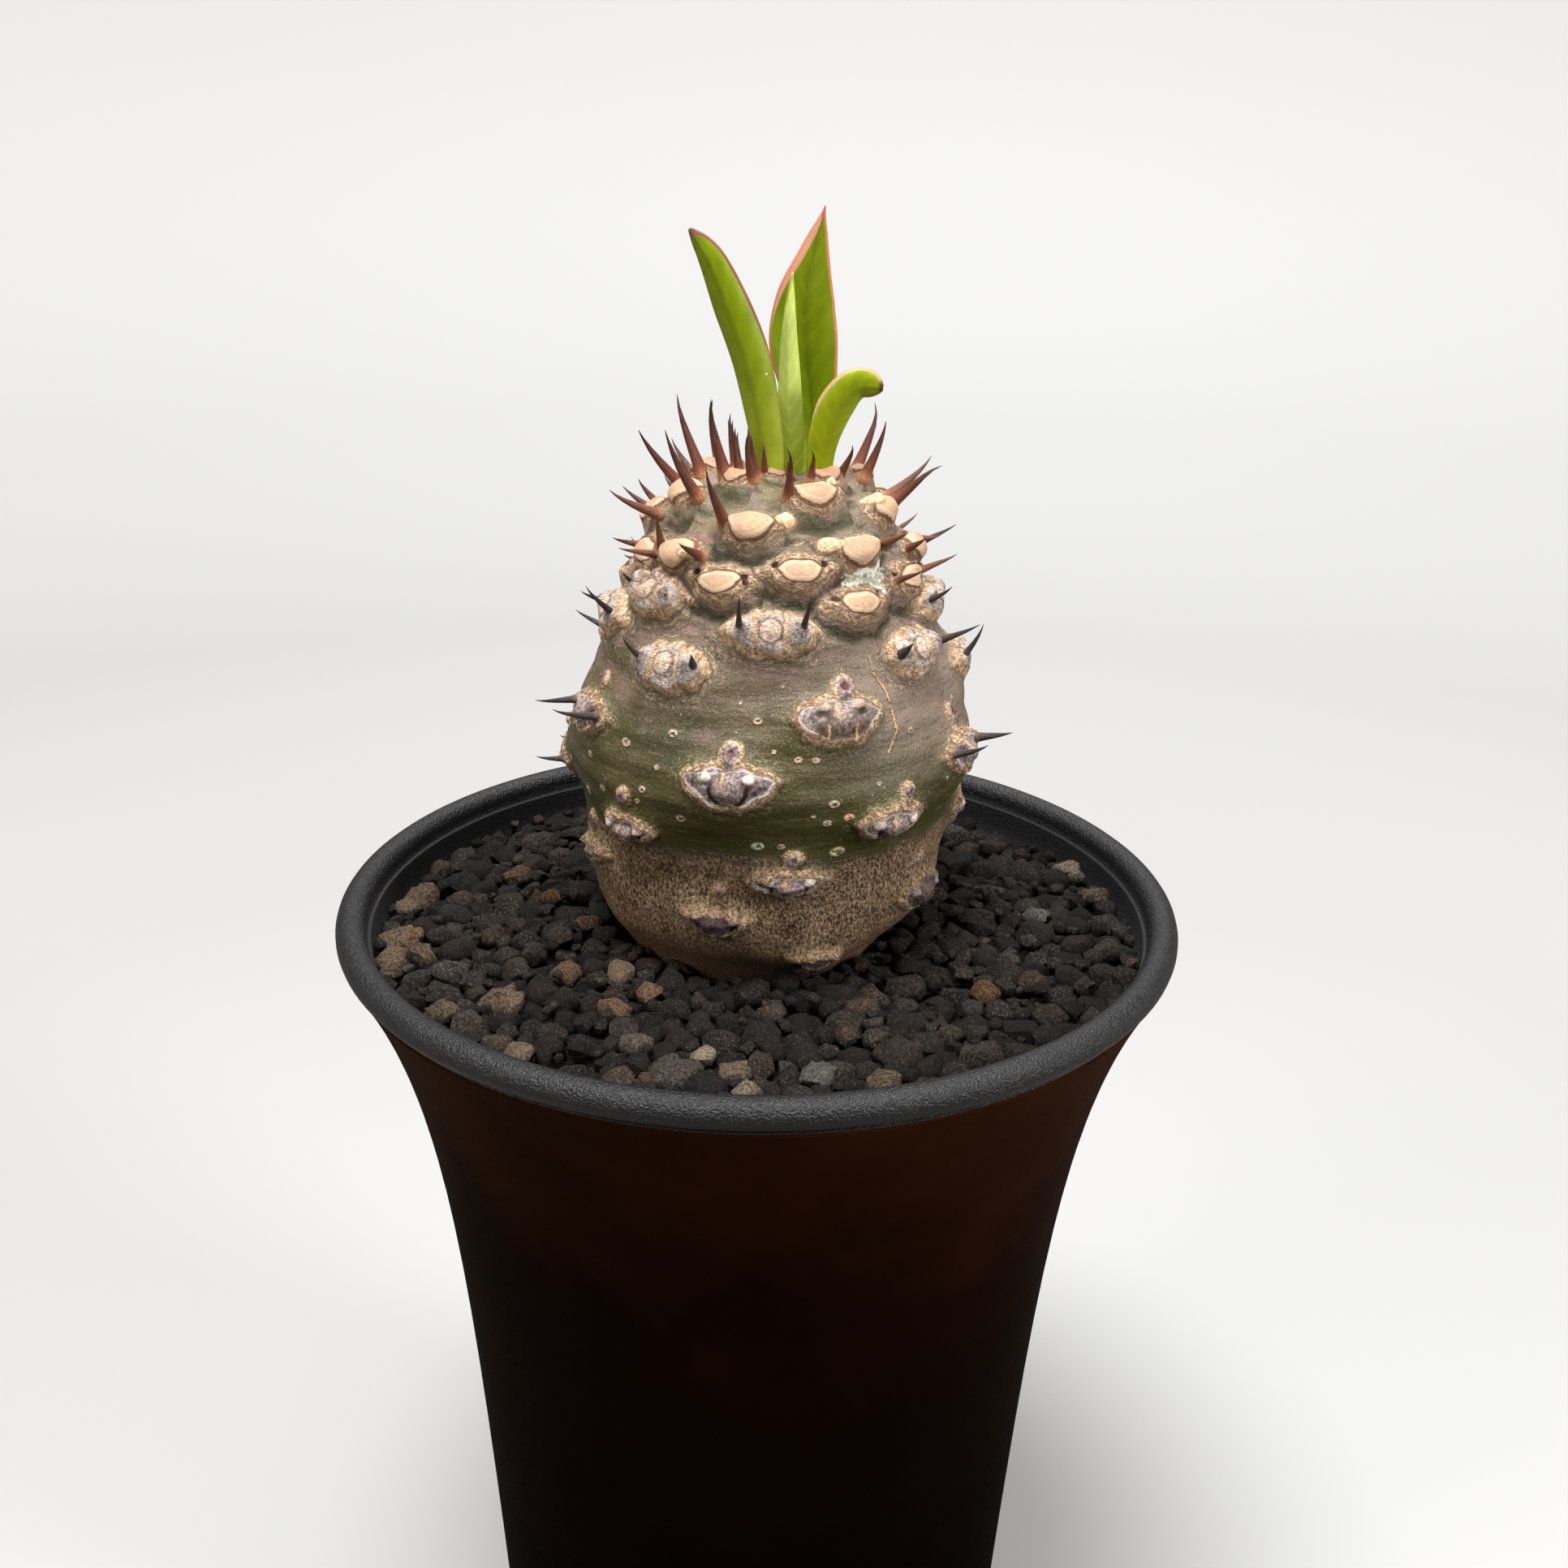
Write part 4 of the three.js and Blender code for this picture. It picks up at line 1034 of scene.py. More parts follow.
    # Pores with pale rings, two crusts, an orange ring and a long tan crack
    ringed = ridge(spot, 0.75, 0.42) * band(fuzz, 0.3, 0.5)
    heart = band(spot, 0.5, 0.25)
    colour = tint(ringed * 0.85, colour, (0.5, 0.38, 0.28))
    colour = tint(heart * 0.7, colour, (0.15, 0.085, 0.06))
    crusty = band(spot, 1.15, 0.8) * band(spotKind, 0.5, 0.9) * band(fuzz, 0.38, 0.52)
    colour = tint(crusty, colour, tint(band(spotKind, 1.3, 1.7), (0.5, 0.56, 0.4), (0.6, 0.52, 0.24)))
    colour = tint(ridge(spot, 0.7, 0.4) * band(spotKind, 2.6, 2.9), colour, (0.78, 0.36, 0.2))
    split = crackU + ragged * 0.8
    tear = ridge(split, 0.0, 0.3) * band(patch, 0.35, 0.5)
    colour = tint(tear * 0.9, colour, (0.46, 0.28, 0.145))
    feed(shader.inputs["Base Color"], colour)

    dull = tint(corkMask, (0.46, 0.46, 0.46), (0.8, 0.8, 0.8))
    dull = tint(insideEye, dull, (0.66, 0.66, 0.66))
    feed(shader.inputs["Roughness"], dull + (fuzz - 0.5) * 0.2)
    shader.inputs["Specular IOR Level"].default_value = 0.32

    # One height in tenths of a millimetre from all of it
    pore = noise(place, 6.0, 2.0, 0.6)
    height = streak * (1.0 - insideEye) * 0.8 + pore * 0.5
    bare = insideEye * (1.0 - onFace) * (1.0 - middle)
    for mask, layer, depth in ((bare, grainy, 1.5), (upperHalf * (1.0 - onFace), wrinkle, 1.1),
                               (sapMask, net, -2.5), (stripes, mound, 2.0), (corkMask, stipple, 7.0),
                               (1.0 - onFace, fuzz, 1.2), (tear, 1.0, 3.0), (ringed, 1.0, 1.6),
                               (heart, 1.0, -2.0), (outline, 1.0, -2.2), (crusty, 1.0, 2.5)):
        height = height + layer * mask * depth
    feed(shader.inputs["Normal"], relief(height, 0.0001))
    return material


def outsideRound(u, v, halfWidth, halfHeight):  # signed distance to an ellipse, roughly, in millimetres
    x = u / halfWidth
    y = v / halfHeight
    away = calc("SQRT", x * x + y * y)
    return (away - 1.0) * min(halfWidth, halfHeight)


# Spines: one master, copied and bent for each place

spine = {
    "sides": 9,
    "profile": [(-1.0, 1.15), (0, 1.12), (0.05, 0.96), (0.12, 0.84), (0.28, 0.7), (0.5, 0.53), (0.7, 0.35),
                (0.86, 0.19), (0.96, 0.09), (1.0, 0.035)],
    "lengths": [(3, 1.6), (10, 4.4), (24, 5), (38, 6), (45, 8.8), (50, 9.2), (54, 6), (58, 5)],
    "rises": [(3, 0), (11, 8), (18, 33), (26, 25), (36, 22), (44, 42), (47, 62), (58, 76)],
    "first": 9, "turn": 14, "brokenShare": 0.2,
}
# Spines on the front, right then left: length, rise, turn from straight out; 0 is broken off
seenSpines = {
    6: [(3.6, 0, 10), (2.4, 4, -10)],
    10: [(4.4, 8, 14), (4.7, 22, -10)], 11: [(5.6, 12, 4), (4.8, -3, -11)], 13: [0, 0],
    15: [0, (5, 58, -11)], 16: [(2.6, 50, 30), (4.3, 41, -7)], 18: [(6, 23, 19), (3.4, 34, -24)],
    19: [(5.3, 42, 12), (3.3, 18, -10)], 21: [(5.6, 54, 18), (5.6, 54, 2)], 23: [0, (4, 30, -19)],
    24: [(1.4, 20, 10), (2.2, 41, -7)], 26: [0, 0], 27: [0, (3.6, -5, -23)], 29: [(1.4, 40, 14), 0],
    31: [(4.6, 20, 30), (3.6, 22, -5)], 32: [(5.6, 11, 15), (3.1, 13, -7)], 34: [0, 0],
    36: [(3, 3, 11), (3.3, 28, -32)], 37: [(5, 22, 13), (4.6, 60, 30)], 39: [(5.5, 21, 1), 0],
    40: [(6.6, 23, 15), (3.8, 43, -21)], 42: [0, (8, 50, -11)], 44: [(7.2, 41, 9), 0],
    45: [(8.5, 58, 18), (8.1, 49, -13)], 47: [0, (6.2, 62, -12)], 48: [(9.3, 69, 13), (7.8, 76, -17)],
    49: [(7.8, 66, 15), (6.6, 68, -16)], 50: [(5.6, 72, 16), (8.7, 74, -12)],
    52: [(4.3, 56, 4), (3.4, 70, -20)], 53: [(4.4, 85, 15), (5.3, 78, -14)],
    55: [(2.4, 45, 7), (3.4, 75, 10)],
}
# How far each seen tip hooks over: sideways and up, as a share of the length
spineHooks = {
    (50, 1): (0.1, -0.02), (50, -1): (0.16, -0.02), (48, 1): (-0.06, 0.02), (37, -1): (0.05, 0.03),
    (52, 1): (-0.14, 0.0), (52, -1): (-0.12, 0.02), (47, -1): (-0.09, 0.0), (45, -1): (0.05, 0.02),
    (49, 1): (0.04, 0.1), (44, 1): (0.12, -0.06),
}
# How much stouter than usual a few broken stumps are
spineStout = {(16, 1): 2.0, (18, -1): 1.8, (10, 1): 1.3}


def readSpine(number, hand):
    if number in seenSpines:
        return seenSpines[number][0 if hand > 0 else 1]
    if number < spine["first"]:
        return 0
    if scatter(number, 20 + hand) < spine["brokenShare"]:
        return 0
    length = float(readRow(spine["lengths"], number)) * (0.88 + 0.24 * scatter(number, 30 + hand))
    rise = float(readRow(spine["rises"], number)) + 12 * (scatter(number, 40 + hand) - 0.5)
    return (length, rise, hand * spine["turn"])


def makeSpineMaster():
    points = [(width, share) for share, width in spine["profile"]]
    piece = walkProfile("spine_master", points, spine["sides"], closeEnds=True)
    writePoints(piece, readPoints(piece) / mm)
    return piece


def makeSpines():
    master = makeSpineMaster()
    template = readPoints(master)
    copies = []
    for t in tubercles:
        for hand in (1, -1):
            found = readSpine(t["number"], hand)
            if not found:
                continue
            length, riseAngle, turnAngle = found
            copy = copyPiece(master)
            bendSpine(copy, template, t, hand, length, riseAngle, turnAngle)
            copies.append(copy)
    bpy.data.objects.remove(master)
    piece = joinPieces(copies, "spines")
    bpy.ops.object.shade_smooth()
    finishPiece(piece, spineMaterial(), "stem_skin", "stem")


def bendSpine(copy, template, t, hand, length, riseAngle, turnAngle):
    number = t["number"]
    place, normal, side, _, radius, _ = skinFrame(t["azimuth"], t["climb"])
    rise, heading = math.radians(riseAngle), math.radians(t["azimuth"] + turnAngle)
    aim = Vector((math.cos(heading) * math.cos(rise), math.sin(heading) * math.cos(rise), math.sin(rise)))
    seat = t["seat"]
    stand = float(swelling(t["azimuth"], t["climb"])) + 0.5 - seat * seat / (2 * max(float(radius), 8))
    foot = Vector(place) + Vector(side) * hand * seat + Vector(normal) * stand
    across = Vector((0, 0, 1)).cross(aim).normalized()
    upright = aim.cross(across).normalized()
    thick = min(max(0.42 + length * 0.055, 0.5), 0.9)
    slim = 0.78 if number < 34 else 1.0
    thick *= slim * spineStout.get((number, hand), 1.0)
    share = template[:, 2]
    along = np.where(share < 0, share * 1.3, share * length)
    bow = 4 * np.clip(share, 0, 1) * (1 - np.clip(share, 0, 1))
    sideHook, upHook = spineHooks.get((number, hand), (0.05 * (scatter(number, 90 + hand) - 0.5), 0.03))
    tipShare = np.clip((share - 0.72) / 0.28, 0, 1) ** 2
    sway = length * (0.05 * (scatter(number, 91 + hand) - 0.5) * bow + sideHook * tipShare)
    rock = length * ((0.05 * (scatter(number, 92 + hand) - 0.5) - 0.02) * bow + upHook * tipShare)
    flat = 1 - 0.22 * np.clip(share, 0, 1)
    points = (np.array(foot)[None] + np.outer(along, np.array(aim))
              + np.outer(template[:, 0] * thick * flat + sway, np.array(across))
              + np.outer(template[:, 1] * thick + rock, np.array(upright)))
    points[:, 2] += np.clip(share, 0, 1) * length * 0.06
    writePoints(copy, points * mm)
    chance = scatter(number, 95 + hand)
    storeVector(copy, "spineMap", (np.clip(share, -0.2, 1), number / spiral["last"], chance))
    storeVector(copy, "spineRound", (template[:, 0], template[:, 1], along))


def spineMaterial():
    material, shader = newMaterial("spine_horn")
    place = objectMm()
    share, age, chance, _ = stored("spineMap")
    _, _, _, lengthwise = stored("spineRound")
    fibres = noise(stretch(lengthwise, (5.0, 5.0, 0.5)), 1.0, 3.0, 0.6)
    fine = useEffect(grain, Place=place, Size=0.4)
    drift = share + (fibres - 0.5) * 0.35
    young = ramp(drift,
                 [(0.0, (0.42, 0.2, 0.09)), (0.06, (0.26, 0.085, 0.04)), (0.16, (0.15, 0.042, 0.018)),
                  (0.5, (0.085, 0.021, 0.011)), (0.85, (0.04, 0.011, 0.007)), (1.0, (0.02, 0.006, 0.005))])
    young = tint(band(fibres, 0.5, 0.7, 0.0, 0.5), young, (0.26, 0.09, 0.036))
    old = ramp(drift,
               [(0.0, (0.17, 0.115, 0.08)), (0.1, (0.06, 0.04, 0.036)), (0.4, (0.036, 0.025, 0.027)),
                (1.0, (0.014, 0.01, 0.012))])
    old = tint(band(fibres, 0.5, 0.72, 0.0, 0.4), old, (0.15, 0.115, 0.105))
    colour = tint(band(age, 0.42, 0.56), old, young)
    reddish = band(age, 0.74, 0.66) * band(age, 0.42, 0.5) * band(chance, 0.4, 0.6) * 0.6
    colour = tint(reddish, colour, (0.19, 0.072, 0.032))
    feed(shader.inputs["Base Color"], colour)
    feed(shader.inputs["Roughness"], band(fine[0], 0.3, 0.7, 0.34, 0.6))
    shader.inputs["Specular IOR Level"].default_value = 0.4
    height = fibres * 0.7 + fine[1] * 0.3
    feed(shader.inputs["Normal"], relief(height, 0.0003))
    return material


# Leaves: centre line, half width, fold of each half and the way the inner face looks

leafSet = {"rows": 64, "columns": 22, "thickness": 0.9, "edgeRound": 0.22, "ripple": 0.05, "keel": 0.10,
           "tipFrom": 0.9, "tipReach": 0.103, "narrow": 1.6}
leaves = {
    "leaf_left": {
        "line": [(0.3, 3.6, 180), (0.2, 3.6, 183), (-0.6, 3.5, 188), (-2.0, 3.4, 194), (-4.2, 3.6, 200),
                 (-6.6, 4, 205.5), (-8.8, 4.4, 208.6)],
        "halfWidth": [1.9, 2.1, 2.45, 2.7, 2.5, 1.7, 0.6], "fold": [1.15, 1.15, 1.1, 1.05, 0.95, 0.9, 0.7],
        "inner": (0.3, 1, 0.1), "low": (0.27, 0.32, 0.02), "high": (0.155, 0.215, 0.0),
        "edge": (0.32, 0.12, 0.07), "wideSide": -1, "wideTone": (0.2, 0.045, 0.04),
        "wideReach": (0.3, 0.7, 0.0, 0.42),
        "stripe": 0.3, "tip": (0.2, 0.07, 0.05),
    },
    "leaf_centre": {
        "line": [(5.8, 9.1, 180), (5.7, 9.3, 184), (5.2, 9.7, 190), (4.4, 10, 196), (4.5, 10.2, 201),
                 (5.4, 10.2, 206), (6.5, 9.8, 211.2)],
        "halfWidth": [1.5, 2.1, 3.4, 4.2, 3.5, 1.8, 0.04], "fold": [1, 0.9, 0.7, 0.55, 0.5, 0.5, 0.5],
        "inner": (-0.1, -1, 0.05), "low": (0.155, 0.235, 0.0), "high": (0.16, 0.22, 0.0),
        "edge": (0.5, 0.16, 0.08), "wideSide": -1, "wideTone": (0.74, 0.36, 0.24),
        "wideReach": (0.5, 0.8, 0.0, 0.85),
        "stripe": 0.8, "tip": (0.5, 0.1, 0.1),
    },
    "leaf_young": {
        "line": [(3.1, 6.9, 180), (3.1, 6.9, 184), (2.8, 7, 189), (2.6, 7.1, 194), (2.6, 7.1, 199),
                 (2.9, 7.1, 204)],
        "halfWidth": [2.1, 2.0, 1.7, 1.3, 0.7, 0.03], "fold": [1.3, 1.3, 1.25, 1.2, 1.1, 0.9],
        "inner": (0.1, 1, 0), "low": (0.36, 0.47, 0.02), "high": (0.56, 0.66, 0.16),
        "edge": (0.42, 0.42, 0.06), "wideSide": 1, "wideTone": (0.3, 0.4, 0.03),
        "wideReach": (0.0, 0.2, 0.0, 0.3),
        "stripe": 0.1, "tip": (0.4, 0.42, 0.08),
    },
    "leaf_right": {
        "line": [(6.8, 4.1, 180), (6.8, 4.1, 183), (7.4, 3.9, 186), (8.6, 3.6, 189.2), (10.8, 3.4, 191.7),
                 (13.6, 3.3, 191.6)],
        "halfWidth": [1.5, 1.8, 2.2, 2.6, 2.2, 1.25], "fold": [1.1, 1.1, 1, 0.95, 0.9, 0.7],
        "inner": (-0.3, 1, 0.35), "low": (0.22, 0.27, 0.0), "high": (0.23, 0.29, 0.002),
        "edge": (0.42, 0.2, 0.07), "wideSide": 1, "wideTone": (0.6, 0.36, 0.2),
        "wideReach": (0.35, 0.6, 0.0, 0.42),
        "stripe": 0.3, "tip": (0.05, 0.02, 0.01),
    },
}


def makeLeaf(name, leaf):
    deselectAll()
    bpy.ops.mesh.primitive_grid_add(x_subdivisions=leafSet["columns"], y_subdivisions=leafSet["rows"], size=2)
    piece = startPiece(name + "_blade")
    flat = readPoints(piece)
    across, share = flat[:, 0], (flat[:, 1] + 1) / 2
    rows = np.unique(np.round(share, 6))
    centres, along = curveThrough(leaf["line"], rows)
    looks = np.array(leaf["inner"], float)
    looks /= np.linalg.norm(looks)
    side = np.cross(along, looks)
    side /= np.linalg.norm(side, axis=1)[:, None]
    inward = np.cross(side, along)
    inward /= np.linalg.norm(inward, axis=1)[:, None]
    knots = np.linspace(0, 1, len(leaf["line"]))
    row = np.searchsorted(rows, np.round(share, 6))
    widths = [(5 * knot, half, 0) for knot, half in zip(knots, leaf["halfWidth"])]
    broad = curveThrough(widths, rows)[0][row, 1]
    nearTip = np.clip((share - leafSet["tipFrom"]) / leafSet["tipReach"], 0, 1)
    width = broad * np.sqrt(1 - nearTip ** 2) + 0.02
    angle = np.interp(share, knots, leaf["fold"])
    bend = width / angle
    turn = across * angle
    narrow = np.clip(width / leafSet["narrow"], 0, 1) ** 2
    ripple = leafSet["ripple"] * np.sin(share * 17 + across * 2) * np.abs(across) ** 2 * narrow
    keel = leafSet["keel"] * np.exp(-(across / 0.10) ** 2) * narrow
    reach = bend + ripple + keel
    points = (centres[row] + side[row] * (reach * np.sin(turn))[:, None]
              + inward[row] * (bend - reach * np.cos(turn))[:, None])
    writePoints(piece, points * mm)
    margin = (1 - np.abs(across)) * width
    storeVector(piece, "leafMap", (across, share, margin))
    thick = (1 - 0.6 * across ** 4) * (1 - 0.55 * ease(share, 0.8, 1.0))
    body = piece.vertex_groups.new(name="body")
    for index, weight in enumerate(thick):
        body.add([index], float(weight), "REPLACE")
    applyModifier(piece, "SOLIDIFY", thickness=leafSet["thickness"] * mm, offset=0.0, use_even_offset=True,
                  vertex_group="body", thickness_vertex_group=0.0)
    applyModifier(piece, "BEVEL", width=leafSet["edgeRound"] * mm, segments=2, limit_method="ANGLE",
                  angle_limit=math.radians(50))
    cleanShell(piece, 1e-7)
    bpy.ops.object.shade_smooth_by_angle(angle=math.radians(60))
    finishPiece(piece, leafMaterial(name, leaf), "leaf_green", name)


def leafMaterial(name, leaf):
    material, shader = newMaterial(name + "_green")
    place = objectMm()
    across, share, margin, _ = stored("leafMap")
    blotch = noise(place, 0.35, 3.0)
    cell = useEffect(grain, Place=place, Size=0.28)
    veinPlace = share * 62.0 + abs(across) * -9.0
    vein = band(calc("SINE", veinPlace + blotch * 6.0), 0.2, 1.0)
    colour = tint(band(share, 0.1, 0.7), leaf["low"], leaf["high"])
    deep = tuple(0.55 * c for c in leaf["high"])
    colour = tint(band(blotch, 0.4, 0.65) * 0.3, colour, deep)
    midrib = band(abs(across), 0.34, 0.04)
    colour = tint(midrib * (leaf["stripe"] * 0.75), colour, deep)
    pale = tuple(min(1.4 * c + 0.01, 1) for c in leaf["high"])
    colour = tint(vein * 0.16, colour, pale)
    flecks = useEffect(specks, Place=place, Spacing=2.6, Size=0.17, Amount=0.28)[0]
    colour = tint(flecks * 0.75, colour, (0.8, 0.8, 0.62))
    low, high, least, most = leaf["wideReach"]
    onSide = band(across * float(leaf["wideSide"]), -0.1, 0.3)
    reach = band(share, low, high, least, most) * onSide
    wide = band(margin - reach, 0.12, -0.12)
    shaded = tuple(0.7 * c for c in leaf["wideTone"])
    colour = tint(wide, colour, tint(blotch, leaf["wideTone"], shaded))
    uneven = margin + (blotch - 0.5) * 0.2
    colour = tint(band(uneven, 0.2, 0.06) * 0.85, colour, leaf["edge"])
    tip = band(share + (blotch - 0.5) * 0.1, 0.95, 0.985)
    colour = tint(tip * 0.9, colour, leaf["tip"])
    feed(shader.inputs["Base Color"], colour)
    feed(shader.inputs["Roughness"], band(cell[0], 0.3, 0.7, 0.28, 0.44))
    shader.inputs["Specular IOR Level"].default_value = 0.2
    shader.inputs["Subsurface Weight"].default_value = 0.2
    shader.inputs["Subsurface Radius"].default_value = (0.5, 1.0, 0.1)
    shader.inputs["Subsurface Scale"].default_value = 0.0008
    feed(shader.inputs["Normal"], relief(cell[1], 5e-05))
    return material


# Soil: a closed bed that fills the pot, and loose grains on it

soil = {
    "masters": 14, "fineMasters": 8, "fineFrom": 1.5, "bedDrop": 2.9, "gap": 0.35, "bedSides": 120,
    "bedHeights": (20, 45, 70, 90, 100, 108, 114, 118), "hollowRim": 15.5, "hollowRings": 25,
    # The hollow that the root fills, radius and depth under the bed's top
    "hollow": [(14.2, 1.5), (12.6, 4), (10.4, 8), (7.6, 12), (4.2, 15.8), (0.6, 17.6)],
    "sizes": [(2.45, 55), (2.05, 150), (1.7, 300), (1.35, 360), (1.0, 380), (0.7, 420)],
    "under": 430, "underDrop": 3.1, "underSize": (1.3, 2.1), "underRoom": 17.0, "stemRoom": 18.2,
    "wallDepth": 3.8, "pack": 0.86, "tries": 60, "cell": 6, "lift": (-1.25, 0.45),
    "paleFrom": 0.962, "coolFrom": 0.94,
}
soilTones = {  # dark to pale, cool to warm
    "tan": (0.78, 0.75), "orange": (0.62, 1.0), "green": (0.52, 0.35), "red": (0.42, 0.95),
    "ochre": (0.6, 0.85), "brown": (0.42, 0.65), "beige": (0.95, 0.55), "grey": (0.6, 0.0),
}
# The pale and coloured grains that stand out: x, y, radius
paleGrains = {
    "tan": [(-48.5, 7.1, 3.0), (-46.0, 3.2, 1.8), (-46.9, -5.7, 3.0), (-45.1, -11.2, 2.6),
            (-41.1, -11.0, 2.0), (-44.1, -15.0, 1.6), (-29.7, -21.3, 3.3), (-35.9, -24.6, 1.9),
            (-16.4, -14.3, 2.0), (-25.6, -33.2, 1.9), (-1.9, -36.6, 1.8), (14.3, -37.9, 2.4),
            (48.7, 11.3, 2.2)],
    "orange": [(-43.4, -5.5, 1.5), (-27.6, 6.2, 1.4), (27.4, -17.3, 2.1)],
    "green": [(-37.0, -14.1, 2.4), (-32.1, -27.2, 2.8), (-12.9, -30.7, 2.0), (-8.0, -36.3, 2.9)],
    "red": [(-45.9, 15.7, 1.8), (10.8, -27.9, 1.7), (33.3, -14.6, 1.7)],
    "ochre": [(-33.3, 13.8, 2.0), (-21.9, -0.9, 1.8), (-16.2, -22.9, 2.0), (-12.4, -19.4, 1.8)],
    "brown": [(-39.3, 5.2, 1.8), (-28.4, -31.2, 1.9), (-14.2, -38.5, 2.0), (0.9, -34.8, 1.9),
              (1.9, -23.6, 1.7), (16.2, -31.7, 3.0), (33.7, 26.3, 1.7), (-25.0, -4.6, 1.9)],
    "beige": [(-5.5, -33.5, 1.6), (-0.3, -40.6, 1.7), (44.6, 19.5, 1.9), (45.4, 17.1, 1.5)],
    "grey": [(7.2, -36.6, 2.2), (36.5, 3.2, 1.7)],
}


def soilMaterial():
    material, shader = newMaterial("soil_grains")
    place = objectMm()
    tone, warm, chance, _ = stored("grainTone")
    pitted = useEffect(grain, Place=place, Size=0.34)
    crumb = noise(place, 0.9, 5.0, 0.75)
    shade = tone + (crumb - 0.5) * 0.22
    cool = ramp(shade,
                [(0.0, (0.004, 0.0034, 0.0032)), (0.3, (0.0175, 0.0145, 0.013)), (0.6, (0.12, 0.115, 0.105)),
                 (1.0, (0.36, 0.31, 0.25))])
    hot = ramp(shade,
               [(0.0, (0.005, 0.0033, 0.0026)), (0.3, (0.024, 0.0145, 0.01)), (0.45, (0.062, 0.03, 0.015)),
                (0.62, (0.17, 0.078, 0.028)), (0.8, (0.19, 0.115, 0.055)), (1.0, (0.3, 0.22, 0.13))])
    colour = tint(warm, cool, hot)
    upward, depth, _, _ = stored("grainShadeMap")
    # Painted shade: darker on the lower side of each grain and on grains that lie deeper, in the gaps
    colour = tint(band(upward, 0.6, -0.3, 0.0, 0.95), colour, (0.003, 0.0024, 0.002))
    colour = tint(band(depth, -1.7, -2.8, 0.0, 0.85), colour, (0.003, 0.0024, 0.002))
    spots = pitted[0] + (chance - 0.5) * 0.1
    # Real pits of the porous grains, with painted shade inside them in near black
    colour = tint(band(spots, 0.53, 0.4, 0.0, 0.85), colour, (0.005, 0.0038, 0.003))
    colour = tint(band(spots, 0.53, 0.66, 0.0, 0.5), colour,
                  tint(tone, (0.06, 0.05, 0.042), (0.5, 0.4, 0.28)))
    bright = useEffect(specks, Place=place, Spacing=0.9, Size=0.11, Amount=0.3)[0]
    colour = tint(bright * 0.45, colour, (0.3, 0.24, 0.18))
    feed(shader.inputs["Base Color"], colour)
    shader.inputs["Roughness"].default_value = 0.93
    shader.inputs["Specular IOR Level"].default_value = 0.22
    height = pitted[1] * 0.6 + crumb * 0.6
    feed(shader.inputs["Normal"], relief(height, 0.0022))
    return material


def makeSoilBed(material):
    gap, wall = soil["gap"], pot["wall"]
    floorHeight = pot["floor"] + gap
    top = soilTop - soil["bedDrop"]

    def inside(height):
        return potRadius(beadHeight - height) - wall - gap

    profile = [(inside(floorHeight) - 1.2, floorHeight), (inside(floorHeight + 1) - 0.1, floorHeight + 1)]
    for height in (*soil["bedHeights"], top - 0.4):
        profile.append((inside(height), height))
    edge, hollow, rings = inside(top) - 0.5, soil["hollowRim"], soil["hollowRings"]
    profile += [(edge + (hollow - edge) * i / rings, top) for i in range(rings + 1)]
    profile += [(radius, top - depth) for radius, depth in soil["hollow"]]
    piece = walkProfile("soil_bed", profile, soil["bedSides"], closeEnds=True)
    points = readPoints(piece) / mm
    radial = np.hypot(points[:, 0], points[:, 1])
    onTop = (points[:, 2] > top - 19) & (radial < edge - 0.3)
    inner = np.where(onTop, 1 - ease(radial, hollow, 34), 0)
    points[:, 0] += stemFoot[0] * inner
    points[:, 1] += stemFoot[1] * inner
    x, y = points[:, 0], points[:, 1]
    rough = 0.5 * np.sin(x * 1.7 + 2 * np.sin(y * 0.9)) * np.sin(y * 1.5 + x * 0.4)
    points[:, 2] += np.where(onTop & (radial > hollow + 1) & (points[:, 2] > top - 0.5), rough, 0)
    writePoints(piece, points * mm)
    # The bed is painted near black and fully shaded, as painted shade in the gaps between the grains
    storeVector(piece, "grainTone", (0.02, 0.5, 0.5))
    storeVector(piece, "grainShadeMap", (-0.8, -3.0, 0.0))
    bpy.ops.object.shade_smooth_by_angle(angle=math.radians(40))
    finishPiece(piece, material, "soil_grains", "soil")


def makeGrainMasters():
    masters = []
    for index in range(soil["masters"]):
        rng = random.Random(100 + index)
        deselectAll()
        fine = index < soil["fineMasters"]  # more faces for the grains that show their shape
        bpy.ops.mesh.primitive_cube_add(size=1.55)
        piece = startPiece("grain_master_%d" % index)
        bpy.ops.object.mode_set(mode="EDIT")
        bpy.ops.mesh.select_all(action="SELECT")
        bpy.ops.mesh.subdivide(number_cuts=2 if fine else 1, smoothness=0.8 if fine else 0.62)
        for _ in range(1 if fine else 2):
            cut = Vector((rng.uniform(-1, 1), rng.uniform(-1, 1), rng.uniform(-1, 1))).normalized()
            bpy.ops.mesh.select_all(action="SELECT")
            bpy.ops.mesh.bisect(plane_co=tuple(cut * rng.uniform(0.66, 0.82)), plane_no=tuple(cut),
                                use_fill=True, clear_outer=True)
        bpy.ops.object.mode_set(mode="OBJECT")
        points = readPoints(piece)
        steady = np.random.RandomState(300 + index)
        points += 0.16 * np.sin(points * 3.1 + index) * np.cos(points[:, [1, 2, 0]] * 2.3 + 2 * index)
        points *= 1 + (0.30 if fine else 0.26) * (steady.rand(len(points), 1) - 0.5)
        points *= np.array([1.0 + 0.28 * rng.random(), 1.0, 0.72 + 0.22 * rng.random()])
        points /= np.sqrt((points ** 2).sum(1)).mean()
        writePoints(piece, points)
        cleanShell(piece, 0.02)
        bpy.ops.object.shade_smooth_by_angle(angle=math.radians(55))
        masters.append(piece)
    return masters


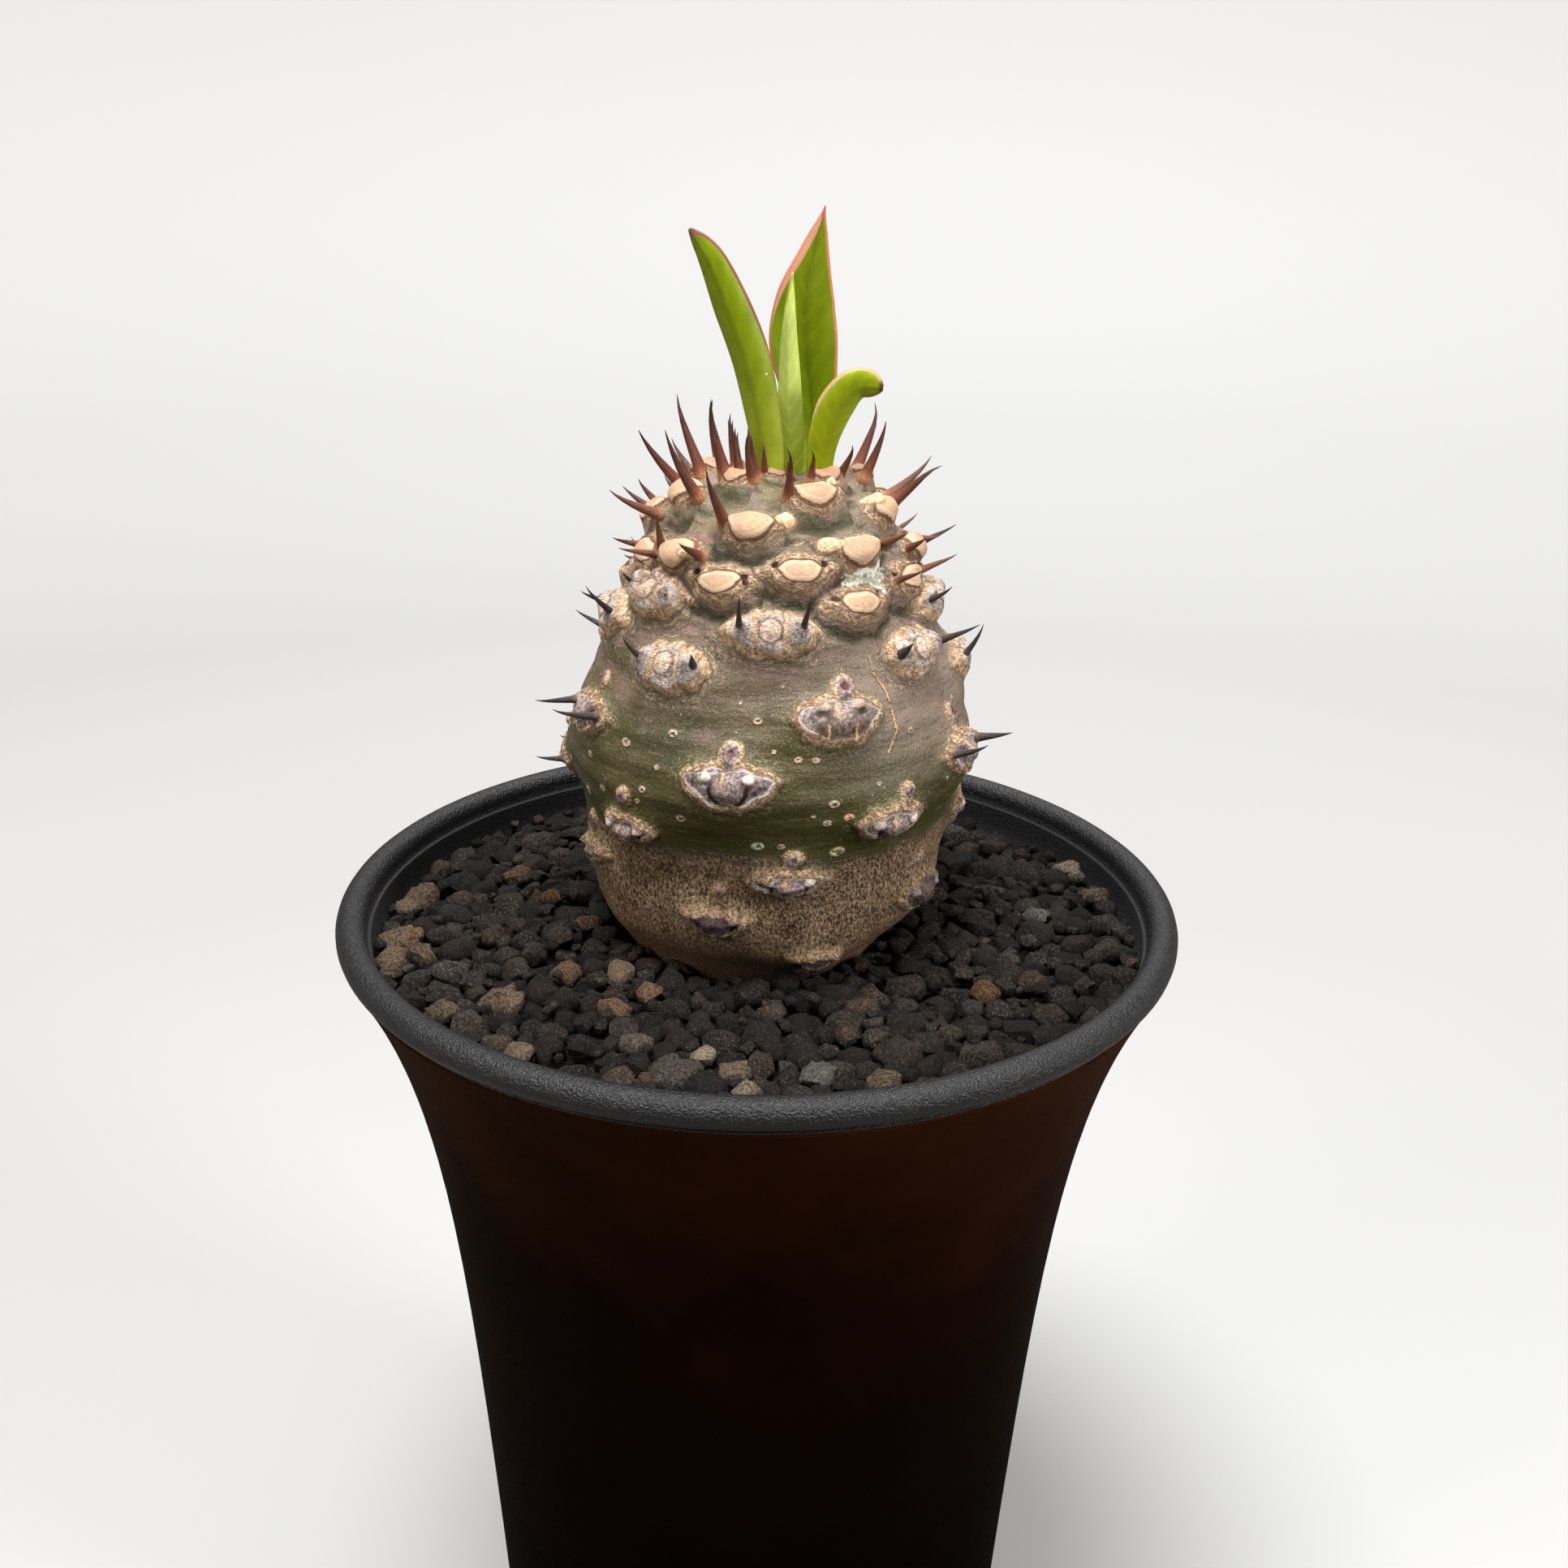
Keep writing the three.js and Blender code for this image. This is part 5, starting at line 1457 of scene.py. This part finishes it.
# Places for the grains, large ones first, each clear of those already down
def scatterGrains():
    rng = random.Random(41)
    wallRadius = potRadius(soil["wallDepth"]) - pot["wall"] - 0.15
    layout, grid, cell = [], {}, soil["cell"]

    def clear(x, y, size):
        cx, cy = int(x // cell), int(y // cell)
        for i in range(cx - 1, cx + 2):
            for j in range(cy - 1, cy + 2):
                for px, py, ps in grid.get((i, j), ()):
                    if math.hypot(px - x, py - y) < (ps + size) * soil["pack"]:
                        return False
        return True

    def drop(x, y, size, tone, lift):
        grid.setdefault((int(x // cell), int(y // cell)), []).append((x, y, size))
        layout.append((x, y, soilTop - size * 0.78 + lift, size, *tone))

    def somewhere(innermost, reach):
        radius = math.sqrt(rng.uniform(innermost, 1)) * reach
        angle = rng.uniform(0, 2 * math.pi)
        x, y = radius * math.cos(angle), radius * math.sin(angle)
        return x, y, math.hypot(x - stemFoot[0], y - stemFoot[1])

    for name, spots in paleGrains.items():
        for x, y, size in spots:
            away = math.hypot(x, y)
            limit = wallRadius - size
            if away > limit:
                x, y = x * limit / away, y * limit / away
            drop(x, y, size * 0.92, soilTones[name], 0.45)
    for size, count in soil["sizes"]:
        done = tries = 0
        while done < count and tries < count * soil["tries"]:
            tries += 1
            x, y, toStem = somewhere(0, wallRadius - size * 0.9)
            own = size * rng.uniform(0.82, 1.15)
            if toStem < soil["stemRoom"] + own * 0.85 or not clear(x, y, own):
                continue
            tone = (0.2 + 0.17 * rng.random(), rng.random() * 0.8)
            pick = rng.random()
            if pick > soil["paleFrom"]:
                tone = (rng.uniform(0.38, 0.6), rng.uniform(0.5, 1.0))
            elif pick > soil["coolFrom"]:
                tone = (rng.uniform(0.4, 0.55), rng.uniform(0.0, 0.3))
            drop(x, y, own, tone, rng.uniform(*soil["lift"]))
            done += 1
    # A lower layer of grains fills the gaps; their darker tones are painted shade
    for _ in range(soil["under"]):
        x, y, toStem = somewhere(0.13, wallRadius - 2)
        size = rng.uniform(*soil["underSize"])
        if toStem < soil["underRoom"]:
            continue
        z = soilTop - soil["underDrop"] + rng.uniform(-0.3, 0.3)
        layout.append((x, y, z, size, 0.15 + 0.1 * rng.random(), rng.random() * 0.7))
    return layout


def makeGrains(material):
    masters = makeGrainMasters()
    shapes = [readPoints(m) for m in masters]
    rng = random.Random(77)
    copies = []
    limit = potRadius(soil["wallDepth"]) - pot["wall"] - 0.1
    fineCount = soil["fineMasters"]
    for x, y, z, size, tone, warm in scatterGrains():
        if size > soil["fineFrom"]:
            index = rng.randrange(fineCount)
        else:
            index = fineCount + rng.randrange(soil["masters"] - fineCount)
        copy = copyPiece(masters[index])
        turn = Matrix.Rotation(rng.uniform(0, 2 * math.pi), 3, "Z")
        turn = turn @ Matrix.Rotation(rng.uniform(-0.6, 0.6), 3, "X")
        turn = turn @ Matrix.Rotation(rng.choice((0, math.pi)), 3, "Y")
        points = shapes[index] @ np.array(turn).T * size + np.array([x, y, z])
        away = np.hypot(points[:, 0], points[:, 1])
        points[:, :2] *= np.minimum(limit / np.maximum(away, 1e-6), 1)[:, None]
        writePoints(copy, points * mm)
        storeVector(copy, "grainTone", (tone, warm, rng.random()))
        # Height on the grain and depth under the soil top, which the finish turns into painted shade
        storeVector(copy, "grainShadeMap", ((points[:, 2] - z) / size, z - soilTop, 0.0))
        copies.append(copy)
    for master in masters:
        bpy.data.objects.remove(master)
    piece = joinPieces(copies, "soil_grains")
    finishPiece(piece, material, "soil_grains", "soil")


addStudio()
makePot()
soilFinish = soilMaterial()
makeSoilBed(soilFinish)
makeGrains(soilFinish)
makeStem()
makeSpines()
for leafName, leafFacts in leaves.items():
    makeLeaf(leafName, leafFacts)
